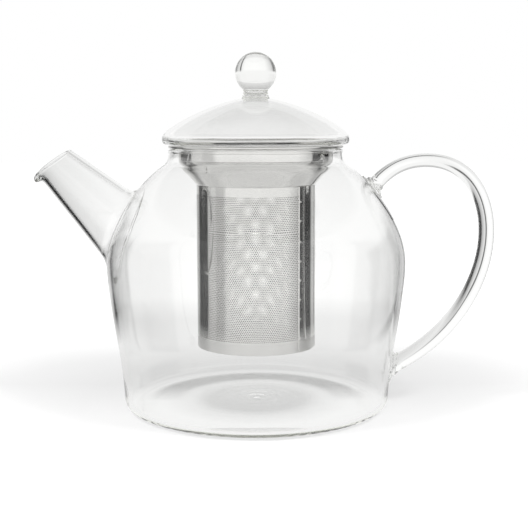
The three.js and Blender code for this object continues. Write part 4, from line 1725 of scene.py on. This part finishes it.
def tile(name, width, height, hole):
    """A flat tile of sheet whose eight edge points meet its neighbours in staggered rows."""
    half_width, half_height = width / 2, height / 2
    edge = [
        (half_width, 0), (half_width, half_height), (0, half_height), (-half_width, half_height),
        (-half_width, 0), (-half_width, -half_height), (0, -half_height), (half_width, -half_height),
    ]
    count = len(edge)
    if hole:
        turns = [math.atan2(z, x) for x, z in edge]
        inner = [(hole / 2 * math.cos(a), hole / 2 * math.sin(a)) for a in turns]
        faces = [(i, count + i, count + (i + 1) % count, (i + 1) % count) for i in range(count)]
    else:
        inner = [(0, 0)]
        faces = [(i, count, (i + 2) % count, i + 1) for i in range(0, count, 2)]
    return mesh_object(name, [(x, 0, z) for x, z in edge + inner], faces)


def lap_strip(infuser):
    """The seam's outer layer: a thin strip that lies on the tube and runs out to nothing."""
    steps = 40
    base = TUBE_HIGH.x + FUSED_GAP
    start, width = infuser.seam_angle, infuser.lap_angle
    outer, inner = [], []
    for i in range(steps + 1):
        share = i / steps
        rounded = min(1.0, 0.55 + 18 * share)
        faded = 1 - max(0.0, (share - 0.55) / 0.45) ** 2
        angle = start + width * share
        height = base + max(SEAM_LAYER * rounded * faded, 0.01 * MM)
        outer.append((angle, height))
        inner.append((angle, base))
    loop = outer + inner[::-1]
    ends = [TUBE_LOW.z, TUBE_LOW.z + 0.2 * MM, TUBE_HIGH.z - 0.2 * MM, TUBE_HIGH.z]
    corners = [(r * math.sin(a), -r * math.cos(a), z) for z in ends for a, r in loop]
    count = len(loop)
    faces = ring_faces(len(ends), count)
    top = (len(ends) - 1) * count
    for i in range(steps):
        a, b, c, d = i, i + 1, count - 2 - i, count - 1 - i
        faces.append((a, d, c, b))
        faces.append((top + a, top + b, top + c, top + d))
    return mesh_object("infuser_lap_seam", corners, faces)


def weld_mark():
    """One spot weld: a shallow ring with a dent in its middle, facing the front."""
    rings = [(0.0, 0.02), (0.25, 0.03), (0.42, 0.13), (0.55, 0.09), (0.65, -0.05)]
    sides = 16
    corners = [(0, -rings[0][1] * MM, 0)]
    for radius, height in rings[1:]:
        for s in range(sides):
            a = 2 * math.pi * s / sides
            corners.append((radius * MM * math.cos(a), -height * MM, radius * MM * math.sin(a)))
    faces = ring_faces(len(rings) - 1, sides, first=1)
    faces += [(0, 1 + s, 1 + (s + 1) % sides) for s in range(sides)]
    last = 1 + (len(rings) - 2) * sides
    corners.append((0, 0.05 * MM, 0))
    faces += [(len(corners) - 1, last + (s + 1) % sides, last + s) for s in range(sides)]
    return mesh_object("weld_mark", corners, faces)


class TEAPOT_OT_infuser_collar(bpy.types.Operator):
    """Build the infuser's drawn collar"""

    bl_idname = "teapot.infuser_collar"
    bl_label = "Infuser collar"

    def execute(self, context):
        finish = steel_finish("polished_steel", 0.04, 0.0006 * MM, 2600)
        outline = collar_section(context.scene.teapot_infuser)
        piece = revolved("infuser_collar_drawn", outline, 180, finish)
        fit(piece, "infuser", ["infuser_collar"], finish)
        return {"FINISHED"}


class TEAPOT_OT_infuser_tube(bpy.types.Operator):
    """Build the infuser's rolled and perforated tube, in quarters, with its welded seam"""

    bl_idname = "teapot.infuser_tube"
    bl_label = "Infuser tube"

    def execute(self, context):
        infuser = context.scene.teapot_infuser
        radius = TUBE_HIGH.x
        row = (TUBE_HIGH.z - TUBE_LOW.z) / infuser.rows
        ground_below = TUBE_LOW.z + (infuser.plain_rows_below - 0.3) * row
        # From the tube's radius inwards the steel takes its painted shade.
        finish = steel_finish("rolled_steel", 0.06, 0.0006 * MM, 1800, radius, ground_below)
        width = 2 * math.pi * radius / infuser.tiles_around
        holed = tile("holed_tile", width, row, infuser.hole)
        plain = tile("plain_tile", width, row, 0)
        tree = rolled_sheet_tree()
        seam = infuser.seam_angle * radius / width
        margin = infuser.margin_angle * radius / width
        quarters = 4
        per_quarter = infuser.tiles_around // quarters
        for q in range(quarters):
            source = mesh_object("sheet_source", [], [])
            give_modifier(
                source,
                tree,
                holed_tile=holed,
                plain_tile=plain,
                first_tile=q * per_quarter,
                tiles=per_quarter,
                rows=infuser.rows,
                tile_width=width,
                tile_height=row,
                bottom=TUBE_LOW.z,
                plain_below=infuser.plain_rows_below,
                plain_from_row=infuser.rows - infuser.plain_rows_above,
                margin_from=seam,
                margin_to=seam + margin,
                sheet=infuser.sheet,
                radius=radius,
                finish=finish,
            )
            piece = made_plain(source, f"infuser_sheet_{q + 1}")
            fit(piece, "infuser", ["infuser_tube"], finish)
        bpy.data.objects.remove(holed)
        bpy.data.objects.remove(plain)

        strip = lap_strip(infuser)
        fit(strip, "infuser", ["infuser_tube"], finish)

        mark = weld_mark()
        source = mesh_object("weld_source", [], [])
        span = TUBE_HIGH.z - TUBE_LOW.z
        give_modifier(
            source,
            spot_weld_tree(),
            mark=mark,
            welds=infuser.welds,
            lowest=TUBE_LOW.z + 0.09 * span,
            spacing=0.82 * span / (infuser.welds - 1),
            radius=radius + SEAM_LAYER,
            angle=infuser.seam_angle + math.radians(2.4),
            finish=finish,
        )
        welds = made_plain(source, "infuser_spot_welds")
        bpy.data.objects.remove(mark)
        fit(welds, "infuser", ["infuser_tube"], finish)
        return {"FINISHED"}


class TEAPOT_OT_infuser_base(bpy.types.Operator):
    """Build the infuser's perforated base"""

    bl_idname = "teapot.infuser_base"
    bl_label = "Infuser base"

    def execute(self, context):
        infuser = context.scene.teapot_infuser
        finish = steel_finish("pressed_steel", 0.08, 0.001 * MM, 400)
        rim = revolved("infuser_base_rim", dish_section(infuser), 160, finish)
        fit(rim, "infuser", ["infuser_base"], finish)
        source = mesh_object("disc_source", [], [])
        disc_radius = TUBE_HIGH.x - 2.52 * MM
        pitch = 2 * math.pi * TUBE_HIGH.x / infuser.tiles_around
        give_modifier(
            source,
            sieve_disc_tree(),
            disc_radius=disc_radius,
            holed_radius=disc_radius - 0.9 * MM,
            pitch=pitch,
            hole_radius=infuser.hole / 2,
            sheet=infuser.sheet,
            height=TUBE_LOW.z + DISH_LIFT,
            holes_across=64,
            finish=finish,
        )
        disc = made_plain(source, "infuser_base_disc")
        fit(disc, "infuser", ["infuser_base"], finish)
        return {"FINISHED"}


# ---- lid


def dome_outline():
    """The dome's outer line, from the axis down to the widest point of the rim."""
    top = DOME_HIGH.z
    brow = (45.9 * MM, 137.4 * MM)
    rim = (DOME_HIGH.x, RIM_WIDEST)
    line = [(0.0, top)]
    line += bezier(line[-1], (15 * MM, top), (40.5 * MM, 144.3 * MM), brow, steps=56)
    line += bezier(brow, (rim[0], 136.2 * MM), rim, steps=8)
    return line


def lid_section(lid):
    """The line round the lid's wall: dome, folded rim, skirt and back up the inside."""
    seat = COLLAR_HIGH.z + 0.3 * MM
    rim = (DOME_HIGH.x, RIM_WIDEST)
    fold = 2.4 * MM
    skirt, corner = 37.2 * MM, 1.6 * MM
    inside = skirt - lid.wall
    low = DOME_LOW.z
    end = lid.wall / 2
    ledge = seat + lid.wall
    dome = dome_outline()
    line = list(dome)
    line += bezier(rim, (rim[0], seat), (rim[0] - fold, seat), steps=10)
    line += bezier(line[-1], (skirt + corner, seat), steps=4)
    line += bezier(line[-1], (skirt, seat), (skirt, seat - corner), steps=8)
    line += bezier(line[-1], (skirt, low + end), steps=5)
    line += arc((inside + end, low + end), end, 0, -180, 12)[1:]
    line += bezier(line[-1], (inside, ledge - fold), steps=5)
    line += bezier(line[-1], (inside, ledge), (inside + fold, ledge), steps=10)
    under = offset(dome[:-6], -lid.wall)[::-1]
    line += bezier(line[-1], (rim[0] - 2.6 * MM, ledge), steps=4)
    inner_rim = rim[0] - lid.wall
    line += bezier(line[-1], (inner_rim, ledge), (inner_rim, 135.4 * MM), under[0], steps=12)
    line += under[1:]
    return line


def knob_section(lid):
    """The line round the knob: a foot on the dome, a ringed neck and a solid ball."""
    ball, middle = KNOB_HIGH.x, KNOB_HIGH.z - KNOB_HIGH.x
    neck, foot = 6.1 * MM, 7.7 * MM
    under = [p for p in offset(dome_outline(), FUSED_GAP) if p[0] < foot]
    low = under[-1][1]
    waist = math.degrees(math.acos(neck / ball))
    neck_top = middle - ball * math.sin(math.radians(waist))
    line = list(under)
    line += bezier(
        line[-1], (neck + 0.7 * MM, low + 0.5 * MM), (neck + 0.1 * MM, low + 1.2 * MM),
        (neck, low + 2.6 * MM), steps=18,
    )
    line += bezier(line[-1], (neck, neck_top), steps=12)
    line += arc((0, middle), ball, -waist, 90, 60)[1:]
    made = []
    for r, z in line:
        near = math.exp(-((z - low - 2.2 * MM) / (1.5 * MM)) ** 2) if z > low + 0.4 * MM else 0
        ring = lid.neck_ring_height * near * math.cos(2 * math.pi * (z - low) / (1.35 * MM))
        made.append((r + ring, z) if r > 0.5 * MM else (r, z))
    made[-1] = (0.0, made[-1][1])
    return made


class TEAPOT_OT_lid_dome(bpy.types.Operator):
    """Build the lid's blown dome with its folded rim and skirt"""

    bl_idname = "teapot.lid_dome"
    bl_label = "Lid dome"

    def execute(self, context):
        lid = context.scene.teapot_lid
        glass = glass_finish("dome_glass", 1.3, 28, 0.04 * MM)
        dome = revolved("lid_shell_source", lid_section(lid), 160, glass)
        piece = hand_blown(dome, "lid_shell", lid, glass)
        fit(piece, "lid", ["lid_dome"], glass)
        return {"FINISHED"}


class TEAPOT_OT_lid_knob(bpy.types.Operator):
    """Build the lid's solid glass knob"""

    bl_idname = "teapot.lid_knob"
    bl_label = "Lid knob"

    def execute(self, context):
        lid = context.scene.teapot_lid
        glass = glass_finish("knob_glass", 1.9, 30, 0.02 * MM)
        ball = revolved("knob_ball_source", knob_section(lid), 112, glass)
        piece = hand_blown(ball, "knob_ball", lid, glass)
        fit(piece, "lid", ["lid_knob"], glass)
        return {"FINISHED"}


# ---- stage


def studio_world():
    """A white backdrop for the camera, and a soft sky over the tent for everything else."""
    world = bpy.data.worlds.new("studio")
    bpy.context.scene.world = world
    world.use_nodes = True
    nodes, links = world.node_tree.nodes, world.node_tree.links
    nodes.clear()

    place = nodes.new("ShaderNodeTexCoord")
    place.label = "Direction"
    parts = nodes.new("ShaderNodeSeparateXYZ")
    parts.label = "Right, back and up"
    rise = nodes.new("ShaderNodeMapRange")
    rise.label = "From below to above"
    heights = nodes.new("ShaderNodeValToRGB")
    heights.label = "Darker overhead"
    surround = nodes.new("ShaderNodeBackground")
    surround.label = "What the glass and the steel see"
    backdrop = nodes.new("ShaderNodeBackground")
    backdrop.label = "What the camera sees"
    rays = nodes.new("ShaderNodeLightPath")
    rays.label = "Straight from the camera"
    choose = nodes.new("ShaderNodeMixShader")
    choose.label = "Surround or backdrop"
    result = nodes.new("ShaderNodeOutputWorld")
    result.label = "Studio"
    sky_frame = nodes.new("NodeFrame")
    sky_frame.label = "Soft sky"
    for node in (parts, rise, heights, surround):
        node.parent = sky_frame
    lay_out(nodes)

    rise.inputs["From Min"].default_value = -1
    rise.inputs["From Max"].default_value = 1
    backdrop.inputs["Color"].default_value = (1, 1, 1, 1)
    fill_ramp(heights, ((0.0, 0.8), (0.5, 0.9), (0.66, 0.85), (0.74, 0.7), (0.86, 0.5), (1.0, 0.4)))

    links.new(place.outputs["Generated"], parts.inputs[0])
    links.new(parts.outputs["Z"], rise.inputs["Value"])
    links.new(rise.outputs[0], heights.inputs["Fac"])
    links.new(heights.outputs["Color"], surround.inputs["Color"])
    links.new(rays.outputs["Is Camera Ray"], choose.inputs["Fac"])
    links.new(surround.outputs[0], choose.inputs[1])
    links.new(backdrop.outputs[0], choose.inputs[2])
    links.new(choose.outputs[0], result.inputs["Surface"])


def tent_finish():
    """Bright cloth with dark strips at the sides, which draw the glass's edges."""
    material = bpy.data.materials.new("tent_cloth")
    material.use_nodes = True
    nodes, links = material.node_tree.nodes, material.node_tree.links
    nodes.clear()

    place = nodes.new("ShaderNodeTexCoord")
    place.label = "Place on the tent"
    parts = nodes.new("ShaderNodeSeparateXYZ")
    parts.label = "Right, back and up"
    around = nodes.new("ShaderNodeMath")
    around.label = "Angle from the back to the right"
    share = nodes.new("ShaderNodeMath")
    share.label = "Share of a turn, the back in the middle"
    strips = nodes.new("ShaderNodeValToRGB")
    strips.label = "Bright and dark round the teapot"
    high = nodes.new("ShaderNodeMapRange")
    high.label = "The strips end below the lid"
    plain = nodes.new("ShaderNodeMix")
    plain.label = "Plain cloth above them"
    cloth = nodes.new("ShaderNodeEmission")
    cloth.label = "Lit cloth"
    result = nodes.new("ShaderNodeOutputMaterial")
    result.label = "Tent"
    for effect, members in (("Strips", (around, share, strips)), ("Plain above", (high, plain))):
        group = nodes.new("NodeFrame")
        group.label = effect
        for node in members:
            node.parent = group
    lay_out(nodes)

    around.operation = "ARCTAN2"
    share.operation = "MULTIPLY_ADD"
    share.inputs[1].default_value = 1 / (2 * math.pi)
    share.inputs[2].default_value = 0.5
    fill_ramp(strips, [(0.5 + angle / 360, value) for angle, value in SURROUND])
    high.inputs["From Min"].default_value = 0.145
    high.inputs["From Max"].default_value = 0.175
    plain.data_type = "RGBA"
    plain.inputs["B"].default_value = (0.8, 0.8, 0.8, 1)
    cloth.inputs["Strength"].default_value = BRIGHT_CLOTH

    links.new(place.outputs["Object"], parts.inputs[0])
    links.new(parts.outputs["X"], around.inputs[0])
    links.new(parts.outputs["Y"], around.inputs[1])
    links.new(parts.outputs["Z"], high.inputs["Value"])
    links.new(around.outputs[0], share.inputs[0])
    links.new(share.outputs[0], strips.inputs["Fac"])
    links.new(high.outputs["Result"], plain.inputs["Factor"])
    links.new(strips.outputs["Color"], plain.inputs["A"])
    links.new(plain.outputs["Result"], cloth.inputs["Color"])
    links.new(cloth.outputs[0], result.inputs["Surface"])
    return material


def fill_ramp(node, stops):
    """Sets a colour ramp's stops to greys."""
    ramp = node.color_ramp
    while len(ramp.elements) > 1:
        ramp.elements.remove(ramp.elements[-1])
    for i, (place, value) in enumerate(stops):
        stop = ramp.elements[0] if i == 0 else ramp.elements.new(place)
        stop.position = place
        stop.color = (value, value, value, 1)


def soft_lamp(name, place, size, power):
    """A square lamp that looks at the teapot's middle."""
    lamp = bpy.data.lights.new(name, "AREA")
    lamp.shape = "SQUARE"
    lamp.size = size
    lamp.energy = power
    holder = bpy.data.objects.new(name, lamp)
    holder.location = place
    middle = Vector((0, 0, (cad_low.z + cad_high.z) / 2))
    holder.rotation_euler = (middle - Vector(place)).to_track_quat("-Z", "Y").to_euler()
    holder.visible_glossy = False
    holder.visible_transmission = False
    bpy.context.scene.collection.objects.link(holder)


class TEAPOT_OT_stage(bpy.types.Operator):
    """Set the camera, the pale floor, the surround and the lamps"""

    bl_idname = "teapot.stage"
    bl_label = "Stage"

    def execute(self, context):
        stage = context.scene.teapot_stage
        lens = bpy.data.cameras.new("camera")
        lens.sensor_width = 36
        lens.angle = stage.camera_view
        lens.clip_start, lens.clip_end = 0.01, 50
        camera = bpy.data.objects.new("camera", lens)
        turn = Matrix.Rotation(math.radians(90) - stage.camera_pitch, 4, "X")
        roll = Matrix.Rotation(stage.camera_roll, 4, "Z")
        place = (stage.camera_side, -stage.camera_distance, stage.camera_height)
        camera.matrix_world = Matrix.Translation(place) @ turn @ roll
        context.scene.collection.objects.link(camera)
        context.scene.camera = camera

        half = stage.floor_size / 2
        level = cad_low.z - 0.3 * MM
        corners = [(-half, -half, level), (half, -half, level), (half, half, level), (-half, half, level)]
        floor = mesh_object("floor", corners, [(0, 1, 2, 3)])
        floor.data.materials.append(floor_finish())

        rims = [(stage.tent_radius, level), (stage.tent_radius, stage.tent_height)]
        tent = revolved("tent", rims, 96, tent_finish())
        tent.visible_camera = False
        tent.visible_diffuse = False
        tent.visible_shadow = False

        studio_world()
        spread, forward, up, lamp_size = 0.62, 0.42, 0.95, 0.3
        for name, side in (("left_lamp", -spread), ("right_lamp", spread)):
            soft_lamp(name, (side, -forward, up), lamp_size, stage.lamp_power)

        cycles = context.scene.cycles
        cycles.max_bounces = 64
        cycles.transmission_bounces = 60
        cycles.glossy_bounces = 60
        cycles.diffuse_bounces = 4
        cycles.transparent_max_bounces = 16
        cycles.use_denoising = True
        context.scene.view_settings.view_transform = "Standard"
        return {"FINISHED"}


# ---- add-on


class TEAPOT_PT_panel(bpy.types.Panel):
    """Sizes, colours and the steps that build the teapot"""

    bl_idname = "TEAPOT_PT_panel"
    bl_label = "Glass teapot"
    bl_space_type = "VIEW_3D"
    bl_region_type = "UI"
    bl_category = "Teapot"

    def draw(self, context):
        layout = self.layout
        for group in SETTINGS:
            box = layout.box()
            box.label(text=group.replace("teapot_", "").capitalize())
            settings = getattr(context.scene, group)
            for name in settings.__annotations__:
                box.prop(settings, name)
        for step in STEPS:
            layout.operator(step.bl_idname)


SETTINGS = {
    "teapot_pot": PotSettings,
    "teapot_infuser": InfuserSettings,
    "teapot_lid": LidSettings,
    "teapot_finish": FinishSettings,
    "teapot_stage": StageSettings,
}
STEPS = (
    TEAPOT_OT_stage,
    TEAPOT_OT_vessel,
    TEAPOT_OT_spout,
    TEAPOT_OT_handle,
    TEAPOT_OT_infuser_collar,
    TEAPOT_OT_infuser_tube,
    TEAPOT_OT_infuser_base,
    TEAPOT_OT_lid_dome,
    TEAPOT_OT_lid_knob,
)


def register():
    for name, group in SETTINGS.items():
        bpy.utils.register_class(group)
        setattr(bpy.types.Scene, name, PointerProperty(type=group))
    for made in (*STEPS, TEAPOT_PT_panel):
        bpy.utils.register_class(made)


def unregister():
    for made in (TEAPOT_PT_panel, *reversed(STEPS)):
        bpy.utils.unregister_class(made)
    for name, group in reversed(SETTINGS.items()):
        delattr(bpy.types.Scene, name)
        bpy.utils.unregister_class(group)


def main():
    register()
    bpy.ops.teapot.stage()
    bpy.ops.teapot.vessel()
    bpy.ops.teapot.spout()
    bpy.ops.teapot.handle()
    bpy.ops.teapot.infuser_collar()
    bpy.ops.teapot.infuser_tube()
    bpy.ops.teapot.infuser_base()
    bpy.ops.teapot.lid_dome()
    bpy.ops.teapot.lid_knob()


if __name__ == "__main__":
    main()
